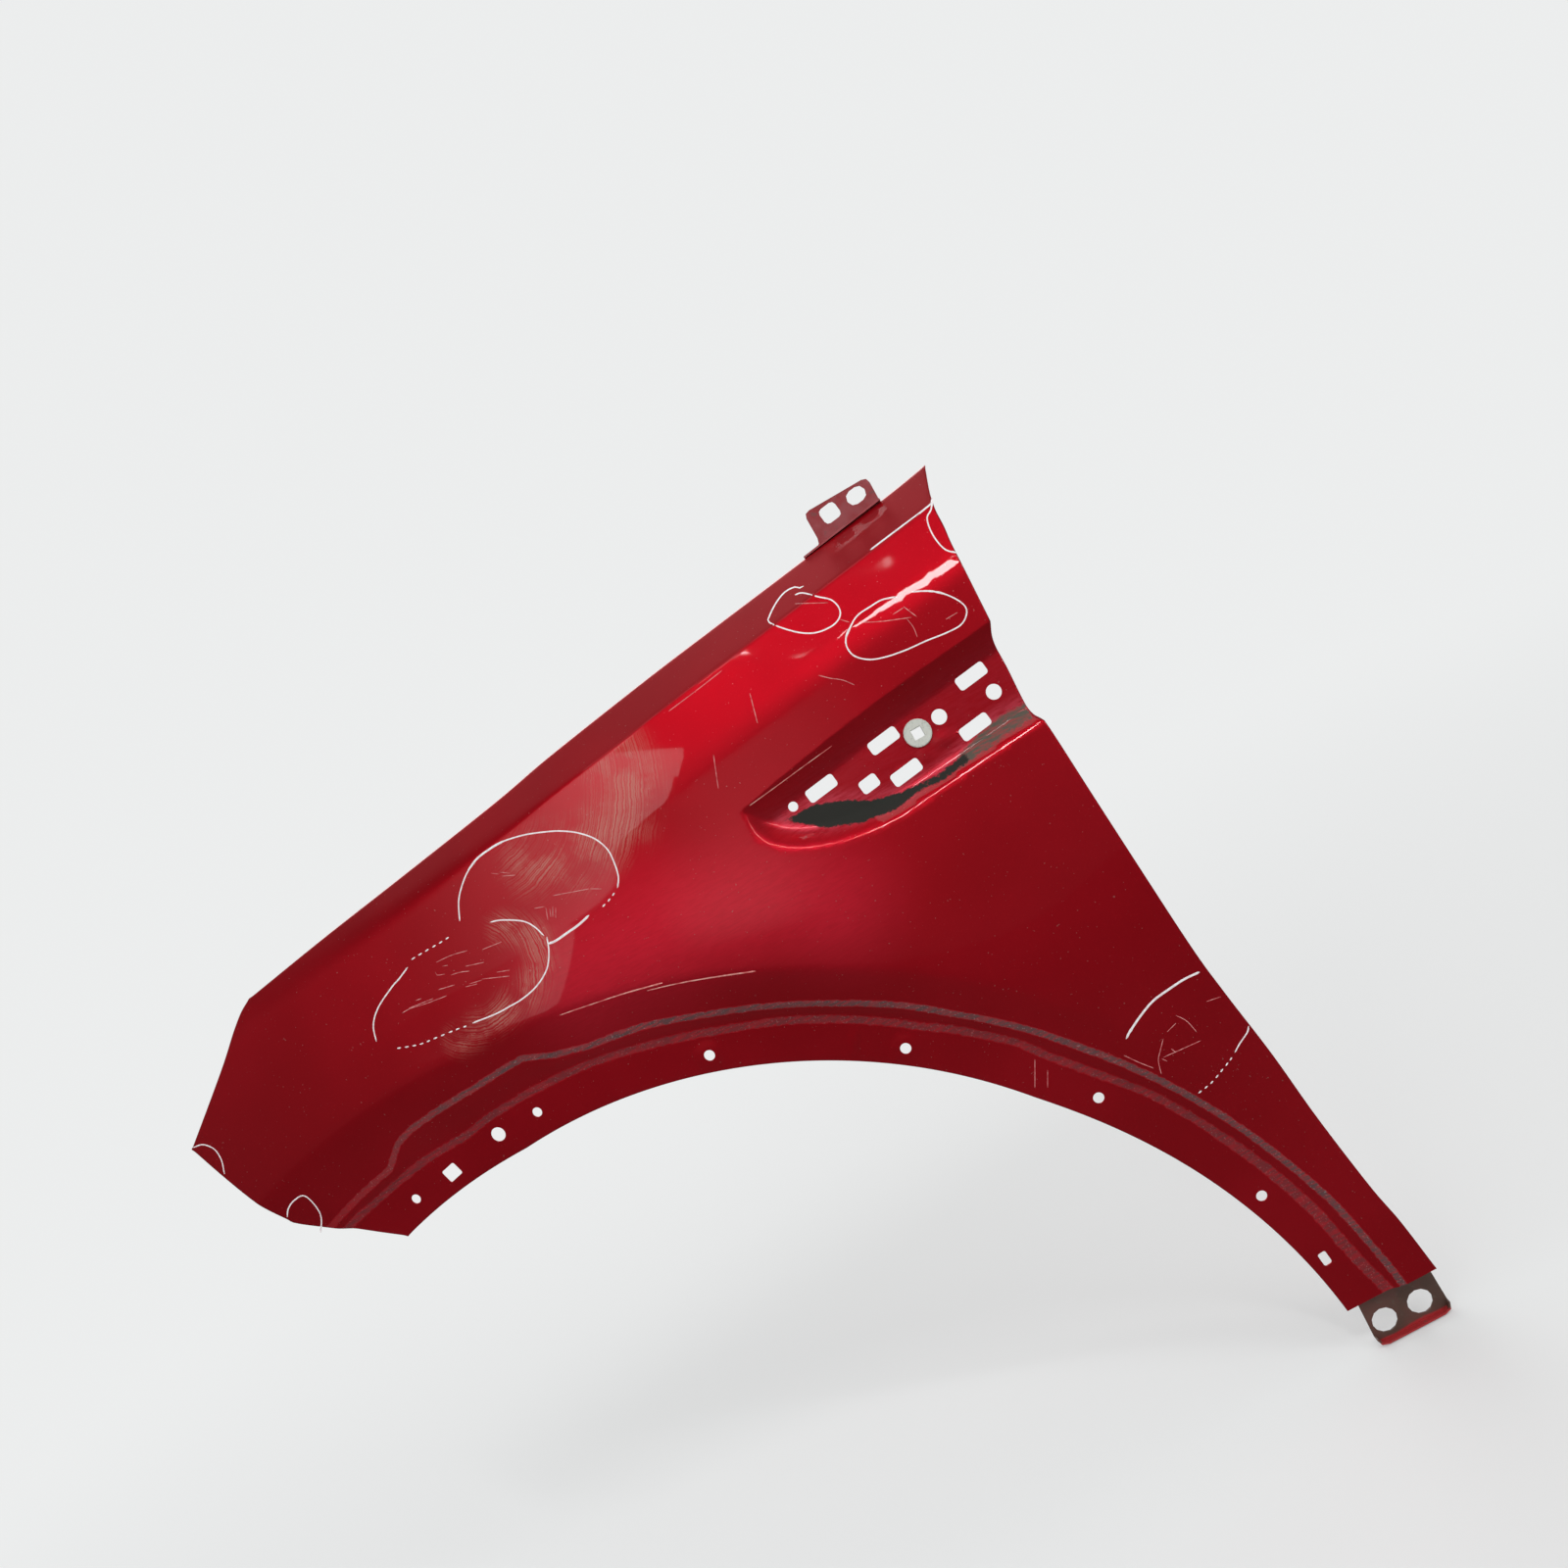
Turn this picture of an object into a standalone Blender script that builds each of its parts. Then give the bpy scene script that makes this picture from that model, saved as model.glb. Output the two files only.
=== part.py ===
"""Left front fender of a passenger car: a pressed steel sheet, two welded brackets and a plastic nut.

The fender keeps its place on the car. +X points to the rear, +Y inboard and +Z up, and the outside
faces -Y. Every outline is first drawn flat, in the side plane of the car, from the wheel's centre.
A form function then says how far inboard the sheet lies at each point, as a press does with a blank.
The finished pieces are moved so that the origin lies on the bolt face of the rear upper bracket,
in the middle of the web between its two holes.
"""
import math

import bmesh
import bpy
from mathutils import Matrix, Vector
from mathutils.geometry import delaunay_2d_cdt

# Driving dimensions of the fender, in metres
LENGTH = 0.819
HEIGHT = 0.716
SHEET = 0.0008
ARCH_SHARE = 0.5085
ARCH_RADIUS = ARCH_SHARE * LENGTH
SEAT_GAP = 0.0003

# How the skin is curved
WIDEST_HEIGHT = 0.200
CROWN_RADIUS = 2.050
SWEEP_START = 0.250
SWEEP_RADIUS = 1.950
SHOULDER_DROP = 0.046
SHOULDER_SLOPE = 0.42
SHOULDER_ROUND = 0.012
SHOULDER_FADE_LENGTH = 0.420
LEDGE_HEIGHT = 0.0255
LEDGE_FRONT_HEIGHT = 0.0140
LEDGE_SLOPE = 1.35
LEDGE_FADE_START = 0.200
LEDGE_FADE_LENGTH = 0.400
LEDGE_ROUND = 0.0006
LEDGE_FRONT_ROUND = 0.0120

# The wheel arch, measured out from its cut edge, with angles in degrees counted up from the rear
REAR_SPREAD = 0.0290
REAR_SPREAD_ANGLE = 40.0
REAR_SPREAD_POWER = 1.3
FRONT_SPREAD = 0.0125
FRONT_SPREAD_ANGLE = 96.0
FRONT_TIP_ANGLE = 113.6
FRONT_SPREAD_POWER = 1.1
STEP_FOOT = 0.0340
STEP_HEAD = 0.0485
STEP_DEPTH = 0.0050
STEP_WAVE = 0.0150
STEP_WAVE_START_ANGLE = 86.0
STEP_WAVE_END_ANGLE = 110.0
STEP_WAVE_ROUND_ANGLE = 6.0
FOLD_OUT = 0.0745
FOLD_RISE = 0.0200
FOLD_RISE_ANGLE = 60.0
FOLD_RISE_SPAN_ANGLE = 40.0
FOLD_RISE_POWER = 1.4
LIP_DEPTH = 0.0100
LIP_REAR_ANGLE = 22.0
LIP_FULL_ANGLE = 66.0
FLARE_DEPTH = 0.0100
FLARE_WIDTH = 0.085
RIB_ANGLE = 58.95
RIB_LENGTH = 0.0220
RIB_WIDTH = 0.0060
RIB_HEIGHT = 0.0012
RIB_FOOT = 0.0045

# The edges that are turned in
DOOR_RETURN = 0.012
ARCH_RETURN = 0.009
FRONT_RETURN = 0.007
CORNER_RELIEF = 0.012
FLANGE_WIDTH = 0.020
FLANGE_DIP = 0.0035
FLANGE_END = 0.030
FLANGE_HOLE_LENGTH = 0.0150
FLANGE_HOLE_WIDTH = 0.0090
FLANGE_HOLE_CORNER = 0.0040

# The garnish recess behind the arch
RECESS_DEPTH = 0.0130
RECESS_WALL = 0.0215
RECESS_RIM = 0.0150
RECESS_BEND = 0.0018
RECESS_TIP_SHARE = 0.2884
RECESS_NOSE_LENGTH = 0.1080
RECESS_NOSE_DROP = 0.0465
RECESS_SILL = 0.0150
RECESS_CREASE_SHARE = 0.7853
RECESS_CREASE_SLOPE = 0.1316
RECESS_CREASE_BOW = 0.0035
RECESS_RIM_SLOPE = 0.082
RECESS_OVERRUN = 0.030
RECESS_TIP_X = RECESS_TIP_SHARE * LENGTH
RECESS_CREASE_Z = RECESS_CREASE_SHARE * HEIGHT
VENT_TILT_ANGLE = 7.0
VENT_SLOT_LENGTH = 0.0250
VENT_SLOT_WIDTH = 0.0105
VENT_SHORT_LENGTH = 0.0150
VENT_SLOT_CORNER = 0.0026
VENT_ROUND_HOLE = 0.0118
VENT_PIN_HOLE = 0.0075

# The plastic nut in the recess
NUT_FLANGE = 0.0216
NUT_FLANGE_THICK = 0.0020
NUT_SHANK = 0.0140
NUT_SHANK_LENGTH = 0.0110
NUT_TIP = 0.0122
NUT_BORE = 0.0084
NUT_EDGE_ROUND = 0.0006
NUT_CLEARANCE = 0.0006

# The holes in the arch flange
CLIP_HOLE = 0.0085
SMALL_CLIP_HOLE = 0.0078
LARGE_CLIP_HOLE = 0.0117
CLIP_SLOT_LENGTH = 0.0136
CLIP_SLOT_WIDTH = 0.0112
REAR_SLOT_LENGTH = 0.0113
REAR_SLOT_WIDTH = 0.0066
SLOT_CORNER = 0.0016

# The rear upper bracket, which stands on the bonnet-side flange, measured from the panel's rear tip
BRACKET_SHEET = 0.0015
UPPER_SETBACK = 0.0439
UPPER_LENGTH = 0.0740
UPPER_STEM = 0.0573
UPPER_RISE = 0.0150
UPPER_INSET = 0.0075
UPPER_SHOULDER_RISE = 0.0050
UPPER_FOOT = 0.0100
UPPER_CORNER = 0.0050
UPPER_SQUARE_SETBACK = 0.0390
UPPER_SQUARE_LENGTH = 0.0150
UPPER_SQUARE_WIDTH = 0.0135
UPPER_SQUARE_CORNER = 0.0035
UPPER_OVAL_SETBACK = 0.0144
UPPER_OVAL_LENGTH = 0.0165
UPPER_OVAL_WIDTH = 0.0120
UPPER_OVAL_CORNER = 0.0055
UPPER_OVAL_RISE = 0.0014
UPPER_HOLE_DROP = 0.0100

# The rear lower bracket, spot-welded inside the foot of the fender, measured from the arch's foot
LOWER_SETBACK = 0.0105
LOWER_WIDTH = 0.0600
LOWER_PAD_WIDTH = 0.0400
LOWER_PAD_TOP = 0.0560
LOWER_JOGGLE = 0.0080
LOWER_JOGGLE_TOP = 0.0150
LOWER_JOGGLE_FOOT = 0.0040
LOWER_DROP = 0.0410
LOWER_RIM = 0.0050
LOWER_CORNER = 0.0065
LOWER_BOLT_HOLE = 0.0203
LOWER_HOLE_INSET = 0.0120
LOWER_HOLE_SPACING = 0.0303
LOWER_HOLE_DROP = 0.0262

# How fine the facets are
PLAIN_PITCH = 0.021
EDGE_PITCH = 0.0135
ROW_CLEAR = 0.0060
ROW_STEP_ANGLE = 2.3
ROW_START_ANGLE = -2.0
ROW_END_ANGLE = 124.0
MERGE_GAP = 0.00005
SHARP_ANGLE = 22.0
HOLE_SIDES = 12
CORNER_SIDES = 3
NOSE_SIDES = 9
NUT_SIDES = 24

# Outline points: shares of LENGTH behind the wheel's centre, and shares of HEIGHT above it
DOOR_EDGE_shares = ((0.634, 0.000), (0.626, 0.064), (0.617, 0.116), (0.605, 0.211), (0.597, 0.295),
                    (0.5865, 0.378), (0.580, 0.444), (0.572, 0.597), (0.568, 0.688), (0.5665, 0.7125))
NOTCH_EDGE_shares = ((0.5665, 0.7125), (0.5605, 0.729), (0.5625, 0.776), (0.5635, 0.808), (0.569, 0.8275))
SHOULDER_EDGE_shares = ((0.569, 0.8275), (0.5735, 0.905), (0.577, 0.9335), (0.5807, 0.963), (0.597, 1.000))
HOOD_EDGE_shares = ((0.597, 1.000), (0.546, 0.991), (0.4486, 0.977), (0.344, 0.9625), (0.2634, 0.951),
                    (0.148, 0.932), (0.079, 0.918), (-0.045, 0.8975), (-0.132, 0.8835), (-0.234, 0.865))
LAMP_EDGE_shares = ((-0.234, 0.865), (-0.2465, 0.857), (-0.261, 0.843), (-0.283, 0.8205), (-0.318, 0.7895),
                    (-0.366, 0.7486))
BUMPER_EDGE_shares = ((-0.366, 0.7486), (-0.3465, 0.7064), (-0.324, 0.659), (-0.3085, 0.6316))
LOWER_EDGE_shares = ((-0.3085, 0.6316), (-0.2985, 0.618), (-0.241, 0.5725))

# Holes of the recess: shares of its length from the tip, shares of the way down from crease to rim
SLOT_PLACE_shares = ((0.889, 0.324), (0.528, 0.345), (0.816, 0.723), (0.542, 0.708), (0.267, 0.398))
SHORT_SLOT_PLACE_shares = ((0.415, 0.606),)
ROUND_HOLE_PLACE_shares = ((0.928, 0.557), (0.729, 0.4625))
PIN_HOLE_PLACE_shares = ((0.154, 0.430),)
NUT_PLACE_share = (0.640, 0.4715)

# Holes of the arch flange: angle about the wheel's centre, share of the way out to the step
CLIP_HOLE_place_shares = ((73.6, 0.42), (53.8, 0.406), (34.0, 0.494), (14.9, 0.415))
SMALL_CLIP_place_shares = ((109.5, 0.506), (92.7, 0.585))
LARGE_CLIP_place_shares = ((97.6, 0.612),)
CLIP_SLOT_place_share = (104.4, 0.456)
REAR_SLOT_place_share = (5.9, 0.36)
FLANGE_HOLE_shares = (0.10, 0.47, 0.80)


def clear_scene():
    """Take away whatever the scene holds."""
    for thing in list(bpy.data.objects):
        bpy.data.objects.remove(thing, do_unlink=True)


def paint(name, colour, roughness, metallic, coat):
    """A plain Principled finish."""
    finish = bpy.data.materials.new(name)
    finish.use_nodes = True
    shader = finish.node_tree.nodes["Principled BSDF"]
    shader.inputs["Base Color"].default_value = (*colour, 1.0)
    shader.inputs["Roughness"].default_value = roughness
    shader.inputs["Metallic"].default_value = metallic
    shader.inputs["Coat Weight"].default_value = coat
    return finish


def smoothstep(value):
    """Rise from 0 to 1 with flat ends."""
    held = min(1.0, max(0.0, value))
    return held * held * (3.0 - 2.0 * held)


def soft_ramp(value, radius):
    """Zero below zero, the value itself above it, and a round of this radius between."""
    if value <= -radius:
        return 0.0
    if value >= radius:
        return value
    return (value + radius) ** 2 / (4.0 * radius)


def soft_least(a, b, radius):
    """The smaller of two depths, with the corner between them rounded."""
    return a - soft_ramp(a - b, radius)


def through(points, pitch):
    """A smooth curve through points chosen by hand, sampled about every pitch."""
    ends = [2 * points[0] - points[1], *points, 2 * points[-1] - points[-2]]
    curve = []
    for before, start, stop, after in zip(ends, ends[1:], ends[2:], ends[3:]):
        count = max(1, round((stop - start).length / pitch))
        for step in range(count):
            t = step / count
            curve.append(0.5 * ((2 * start) + (stop - before) * t
                                + (2 * before - 5 * start + 4 * stop - after) * t * t
                                + (3 * start - before - 3 * stop + after) * t ** 3))
    curve.append(points[-1])
    return curve


def flat_points(shares):
    """Shares of the fender's length and height as points of the side plane."""
    return [Vector((along * LENGTH, up * HEIGHT)) for along, up in shares]


def height_on(curve, x):
    """Height of a curve that runs from rear to front, at this x."""
    for rear, front in zip(curve, curve[1:]):
        if front.x <= x:
            return rear.y + (front.y - rear.y) * (rear.x - x) / (rear.x - front.x)
    last = curve[-1]
    return last.y + (last.y - curve[-2].y) * (last.x - x) / (curve[-2].x - last.x)


HOOD_EDGE = through(flat_points(HOOD_EDGE_shares), EDGE_PITCH)


def arch_edge(angle):
    """Radius of the arch's cut edge, a circle that opens out at the foot and at the front tip."""
    rear = max(0.0, (REAR_SPREAD_ANGLE - angle) / REAR_SPREAD_ANGLE)
    front = max(0.0, (angle - FRONT_SPREAD_ANGLE) / (FRONT_TIP_ANGLE - FRONT_SPREAD_ANGLE))
    return ARCH_RADIUS + REAR_SPREAD * rear ** REAR_SPREAD_POWER \
        + FRONT_SPREAD * front ** FRONT_SPREAD_POWER


def arch_point(angle, out):
    """A point of the side plane at this angle, so far outside the arch's cut edge."""
    reach = arch_edge(angle) + out
    turn = math.radians(angle)
    return Vector((reach * math.cos(turn), reach * math.sin(turn)))


def arch_place(x, z):
    """Angle about the wheel's centre, and how far outside the arch's cut edge a point lies."""
    angle = math.degrees(math.atan2(z, x))
    return angle, math.hypot(x, z) - arch_edge(angle)


def step_head(angle):
    """Where the seat of the arch trim steps in: it swings out above the front of the wheel."""
    start = smoothstep((angle - STEP_WAVE_START_ANGLE) / STEP_WAVE_ROUND_ANGLE)
    stop = smoothstep((STEP_WAVE_END_ANGLE - angle) / STEP_WAVE_ROUND_ANGLE)
    return STEP_HEAD + STEP_WAVE * start * stop


def fold_line(angle):
    """Where the flare folds into the arch."""
    past = max(0.0, (angle - FOLD_RISE_ANGLE) / FOLD_RISE_SPAN_ANGLE)
    return FOLD_OUT + FOLD_RISE * past ** FOLD_RISE_POWER


def ledge_share(x):
    """How far the ledge beside the bonnet has grown to its full shape, from front to rear."""
    return smoothstep((x + LEDGE_FADE_START) / LEDGE_FADE_LENGTH)


def ledge_height(x):
    """How high the ledge beside the bonnet stands above its crease."""
    return LEDGE_FRONT_HEIGHT + (LEDGE_HEIGHT - LEDGE_FRONT_HEIGHT) * ledge_share(x)


def crease_height(x):
    """Height of the crease beside the bonnet."""
    return height_on(HOOD_EDGE, x) - ledge_height(x)


def recess_end_x():
    """Where the recess runs out over the door edge."""
    return NOTCH_EDGE_shares[1][0] * LENGTH


def recess_crease(x):
    """Height of the sharp upper edge of the garnish recess."""
    along = x - RECESS_TIP_X
    bow = math.sin(math.pi * min(1.0, max(0.0, along / (recess_end_x() - RECESS_TIP_X))))
    return RECESS_CREASE_Z + RECESS_CREASE_SLOPE * along + RECESS_CREASE_BOW * bow


def recess_rim():
    """The recess's front end and lower edge: down its nose, round it, and back past the door edge."""
    centre = Vector((RECESS_TIP_X + RECESS_NOSE_LENGTH, RECESS_CREASE_Z - RECESS_SILL))
    rim = [Vector((RECESS_TIP_X, RECESS_CREASE_Z))]
    for step in range(NOSE_SIDES + 1):
        turn = math.pi / 2 * step / NOSE_SIDES
        rim.append(centre - Vector((RECESS_NOSE_LENGTH * math.cos(turn), RECESS_NOSE_DROP * math.sin(turn))))
    last = rim[-1]
    run = recess_end_x() + RECESS_OVERRUN - last.x
    steps = round(run / EDGE_PITCH)
    rim += [last + Vector((run, RECESS_RIM_SLOPE * run)) * (step / steps) for step in range(1, steps + 1)]
    return rim


RIM = recess_rim()


def rim_height(x):
    """Height of the recess's lower edge at this x."""
    return height_on(RIM[:0:-1], x)


def distance_to(chain, point):
    """Shortest way from a point to a chain of straight runs."""
    best = math.inf
    for start, stop in zip(chain, chain[1:]):
        run = stop - start
        share = max(0.0, min(1.0, (point - start).dot(run) / run.length_squared))
        best = min(best, (point - start - run * share).length)
    return best


def recess_depth(x, z):
    """How deep the garnish recess is pressed at a point."""
    if x <= RECESS_TIP_X or z >= recess_crease(x) or z <= rim_height(x):
        return 0.0
    wall = RECESS_DEPTH / RECESS_WALL * (recess_crease(x) - z)
    slope = RECESS_DEPTH / RECESS_RIM * distance_to(RIM, Vector((x, z)))
    return max(0.0, soft_least(soft_least(slope, wall, RECESS_BEND), RECESS_DEPTH, RECESS_BEND))


def rib_height(angle, out):
    """The short bead pressed across the arch flange."""
    across = math.radians(angle - RIB_ANGLE) * (ARCH_RADIUS + out) / (RIB_WIDTH / 2)
    along = (out - RIB_FOOT - RIB_LENGTH / 2) / (RIB_LENGTH / 2)
    return RIB_HEIGHT * max(0.0, 1.0 - across * across) * max(0.0, 1.0 - along ** 4)


def form(x, z):
    """How far inboard the outer face of the skin lies."""
    crown = max(0.0, z - WIDEST_HEIGHT) ** 2 / (2 * CROWN_RADIUS)
    sweep = max(0.0, SWEEP_START - x) ** 2 / (2 * SWEEP_RADIUS)
    crease = crease_height(x)
    shoulder_share = smoothstep(x / SHOULDER_FADE_LENGTH)
    shoulder = SHOULDER_SLOPE * shoulder_share * soft_ramp(z - crease + SHOULDER_DROP, SHOULDER_ROUND)
    ledge_round = LEDGE_ROUND + (LEDGE_FRONT_ROUND - LEDGE_ROUND) * (1 - ledge_share(x))
    ledge = LEDGE_SLOPE * soft_ramp(z - crease, ledge_round) * smoothstep((x + ARCH_RADIUS) / ARCH_RADIUS)
    angle, out = arch_place(x, z)
    along = smoothstep((angle - LIP_REAR_ANGLE) / (LIP_FULL_ANGLE - LIP_REAR_ANGLE))
    fold = fold_line(angle)
    lip = LIP_DEPTH * along * smoothstep((fold - out) / (fold - STEP_FOOT))
    head = step_head(angle)
    step = STEP_DEPTH * smoothstep((head - out) / (head - STEP_FOOT))
    flare = FLARE_DEPTH * along * math.exp(-((out - fold) / FLARE_WIDTH) ** 2)
    return crown + sweep + shoulder + ledge + lip + step - flare + recess_depth(x, z) - rib_height(angle, out)


def skin(point):
    """Lift a point of the side plane onto the outer face of the skin."""
    return Vector((point.x, form(point.x, point.y), point.y))


def disc(centre, diameter):
    """A round hole."""
    turns = [2 * math.pi * side / HOLE_SIDES for side in range(HOLE_SIDES)]
    return [centre + Vector((math.cos(turn), math.sin(turn))) * (diameter / 2) for turn in turns]


def rounded_slot(centre, length, width, corner, tilt):
    """A rectangular hole with round corners, its long side turned up by tilt degrees."""
    spin = Matrix.Rotation(math.radians(tilt), 2)
    loop = []
    for quarter, (sign_x, sign_y) in enumerate(((1, 1), (-1, 1), (-1, -1), (1, -1))):
        pivot = Vector((sign_x * (length / 2 - corner), sign_y * (width / 2 - corner)))
        for side in range(CORNER_SIDES):
            turn = math.pi / 2 * (quarter + side / (CORNER_SIDES - 1))
            loop.append(centre + spin @ (pivot + Vector((math.cos(turn), math.sin(turn))) * corner))
    return loop


def recess_point(along, down):
    """A point of the recess floor: share of its length from the tip, share of the way to the rim."""
    x = RECESS_TIP_X + along * (recess_end_x() - RECESS_TIP_X)
    top = recess_crease(x)
    return Vector((x, top - down * (top - rim_height(x))))


def flange_point(angle, share):
    """A point of the arch flange, between the cut edge and the foot of the step."""
    return arch_point(angle, share * STEP_FOOT)


def arch_holes():
    """The clip and screw holes along the arch flange."""
    holes = [disc(flange_point(*place), CLIP_HOLE) for place in CLIP_HOLE_place_shares]
    holes += [disc(flange_point(*place), SMALL_CLIP_HOLE) for place in SMALL_CLIP_place_shares]
    holes += [disc(flange_point(*place), LARGE_CLIP_HOLE) for place in LARGE_CLIP_place_shares]
    square_on = CLIP_SLOT_place_share[0] - 90
    holes.append(rounded_slot(flange_point(*CLIP_SLOT_place_share), CLIP_SLOT_LENGTH, CLIP_SLOT_WIDTH,
                              SLOT_CORNER, square_on))
    along_edge = REAR_SLOT_place_share[0] - 90
    holes.append(rounded_slot(flange_point(*REAR_SLOT_place_share), REAR_SLOT_LENGTH, REAR_SLOT_WIDTH,
                              SLOT_CORNER, along_edge))
    return holes


def recess_holes():
    """The slots and holes that take the garnish's clips, and the hole of the plastic nut."""
    holes = [rounded_slot(recess_point(*place), VENT_SLOT_LENGTH, VENT_SLOT_WIDTH, VENT_SLOT_CORNER,
                          VENT_TILT_ANGLE) for place in SLOT_PLACE_shares]
    holes += [rounded_slot(recess_point(*place), VENT_SHORT_LENGTH, VENT_SLOT_WIDTH, VENT_SLOT_CORNER,
                           VENT_TILT_ANGLE) for place in SHORT_SLOT_PLACE_shares]
    holes += [disc(recess_point(*place), VENT_ROUND_HOLE) for place in ROUND_HOLE_PLACE_shares]
    holes += [disc(recess_point(*place), VENT_PIN_HOLE) for place in PIN_HOLE_PLACE_shares]
    holes.append(disc(recess_point(*NUT_PLACE_share), NUT_SHANK + 2 * NUT_CLEARANCE))
    return holes


def arch_chain(out, first, last):
    """A line along the arch, from one angle to another, so far out as a function says."""
    count = round(abs(last - first) / ROW_STEP_ANGLE)
    angles = [first + (last - first) * step / count for step in range(count + 1)]
    return [arch_point(angle, out(angle)) for angle in angles]


def skin_outline():
    """The blank's edge stretches by name, each from corner to corner, going round once."""
    door = through(flat_points(DOOR_EDGE_shares), EDGE_PITCH)
    notch = through(flat_points(NOTCH_EDGE_shares), EDGE_PITCH)
    shoulder = through(flat_points(SHOULDER_EDGE_shares), EDGE_PITCH)
    bumper = through(flat_points(BUMPER_EDGE_shares), EDGE_PITCH)
    lower = through([*flat_points(LOWER_EDGE_shares), arch_point(FRONT_TIP_ANGLE, 0)], EDGE_PITCH)
    arch = arch_chain(lambda angle: 0, FRONT_TIP_ANGLE, 0)
    return {
        "door": door + notch[1:] + shoulder[1:],
        "hood": HOOD_EDGE,
        "lamp": through(flat_points(LAMP_EDGE_shares), EDGE_PITCH),
        "bumper": bumper + lower[1:],
        "arch": arch,
        "sill": [arch[-1], (arch[-1] + door[0]) / 2, door[0]],
    }


def arch_rows():
    """Lines along the folds of the arch, from behind the sill to beyond the front edge."""
    rows = [arch_chain(out, ROW_START_ANGLE, ROW_END_ANGLE)
            for out in (lambda angle: STEP_FOOT, step_head,
                        lambda angle: (STEP_FOOT + step_head(angle)) / 2)]
    rows += [arch_chain(out, LIP_REAR_ANGLE, ROW_END_ANGLE)
             for out in (fold_line, lambda angle: (step_head(angle) + fold_line(angle)) / 2,
                         lambda angle: 2 * fold_line(angle) - STEP_HEAD)]
    for side in (-1, 0, 1):
        turn = math.degrees(side * RIB_WIDTH / 2 / ARCH_RADIUS)
        rows.append([arch_point(RIB_ANGLE + turn, RIB_FOOT + RIB_LENGTH * share / 4) for share in range(5)])
    return rows


def hood_rows():
    """Lines along the bonnet crease and along the shoulder below it."""
    crease = [Vector((point.x, point.y - ledge_height(point.x))) for point in HOOD_EDGE]
    rows = [crease]
    for side in (-1, 0, 1):
        down = Vector((0, SHOULDER_DROP + side * SHOULDER_ROUND))
        rows.append([point - down for point in crease if point.x > 0])
    return rows


def recess_rows():
    """Lines along the crease, the foot of the wall and the rim of the recess."""
    rear = RIM[-1].x
    steps = round((rear - RECESS_TIP_X) / EDGE_PITCH)
    upper = [RECESS_TIP_X + (rear - RECESS_TIP_X) * step / steps for step in range(steps + 1)]
    foot = RECESS_WALL + RECESS_BEND * RECESS_WALL / RECESS_DEPTH
    middle = recess_point(1 / 2, 1 / 2)
    inner = []
    for before, point, after in zip(RIM, RIM[1:], RIM[2:]):
        along = (after - before).normalized()
        if point.x > RECESS_TIP_X + RECESS_RIM:
            inner.append(point + Vector((-along.y, along.x)) * RECESS_RIM)
    return [[Vector((x, recess_crease(x))) for x in upper], RIM, inner,
            [Vector((x, recess_crease(x) - foot)) for x in upper if x > RECESS_TIP_X + 2 * foot],
            [middle, recess_point(3 / 4, 1 / 2)]]


def inside(loop, point):
    """Whether a point lies within a closed loop."""
    within = False
    for start, stop in zip(loop, loop[1:] + loop[:1]):
        if (start.y > point.y) != (stop.y > point.y):
            if point.x < start.x + (stop.x - start.x) * (point.y - start.y) / (stop.y - start.y):
                within = not within
    return within


def grid_points(outline, lines, pitch):
    """Points for the plain stretches of a blank, clear of every line that the facets follow."""
    low = Vector((min(point.x for point in outline), min(point.y for point in outline)))
    high = Vector((max(point.x for point in outline), max(point.y for point in outline)))
    points = []
    for up in range(int((high.y - low.y) / pitch) + 1):
        for along in range(int((high.x - low.x) / pitch) + 2):
            spot = low + Vector((along + up % 2 / 2, up + 1 / 2)) * pitch
            if inside(outline, spot) and all(distance_to(line, spot) > ROW_CLEAR for line in lines):
                points.append(spot)
    return points


def cut_blank(mesh, outline, holes, rows, lift):
    """Cut a flat blank to its outline and holes, in triangles, and lift each point to its form."""
    points = []
    edges = []
    for loop in [outline, *holes]:
        first = len(points)
        points += loop
        edges += [(first + at, first + (at + 1) % len(loop)) for at in range(len(loop))]
    for row in rows:
        first = len(points)
        points += row
        edges += [(first + at, first + at + 1) for at in range(len(row) - 1)]
    lines = [loop + loop[:1] for loop in [outline, *holes]] + rows
    points += grid_points(outline, lines, PLAIN_PITCH)
    flat, _, faces, *_ = delaunay_2d_cdt(points, edges, [], 0, MERGE_GAP)
    vertices = {}
    for face in faces:
        middle = sum((flat[corner] for corner in face), Vector((0, 0))) / len(face)
        if inside(outline, middle) and not any(inside(hole, middle) for hole in holes):
            for corner in face:
                if corner not in vertices:
                    vertices[corner] = mesh.verts.new(lift(flat[corner]))
            mesh.faces.new([vertices[corner] for corner in face])
    return [(flat[corner], vertex) for corner, vertex in vertices.items()]


def turn_edge(mesh, placed, stretch, shift, relief):
    """Turn the edge of a sheet along one stretch, stopping short of the stretch's ends."""
    chain = set()
    for flat, vertex in placed:
        clear = min((flat - stretch[0]).length, (flat - stretch[-1]).length) >= relief
        if clear and distance_to(stretch, flat) < MERGE_GAP:
            chain.add(vertex)
    edges = [edge for edge in mesh.edges if edge.is_boundary and set(edge.verts) <= chain]
    turned = bmesh.ops.extrude_edge_only(mesh, edges=edges)["geom"]
    corners = [part for part in turned if isinstance(part, bmesh.types.BMVert)]
    bmesh.ops.translate(mesh, vec=shift, verts=corners)


def hood_flange_point(flat):
    """A point of the hidden flange: x along the bonnet edge, y inboard from that edge."""
    z = height_on(HOOD_EDGE, flat.x)
    return Vector((flat.x, form(flat.x, z) + flat.y, z - FLANGE_DIP * flat.y / FLANGE_WIDTH))


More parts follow.
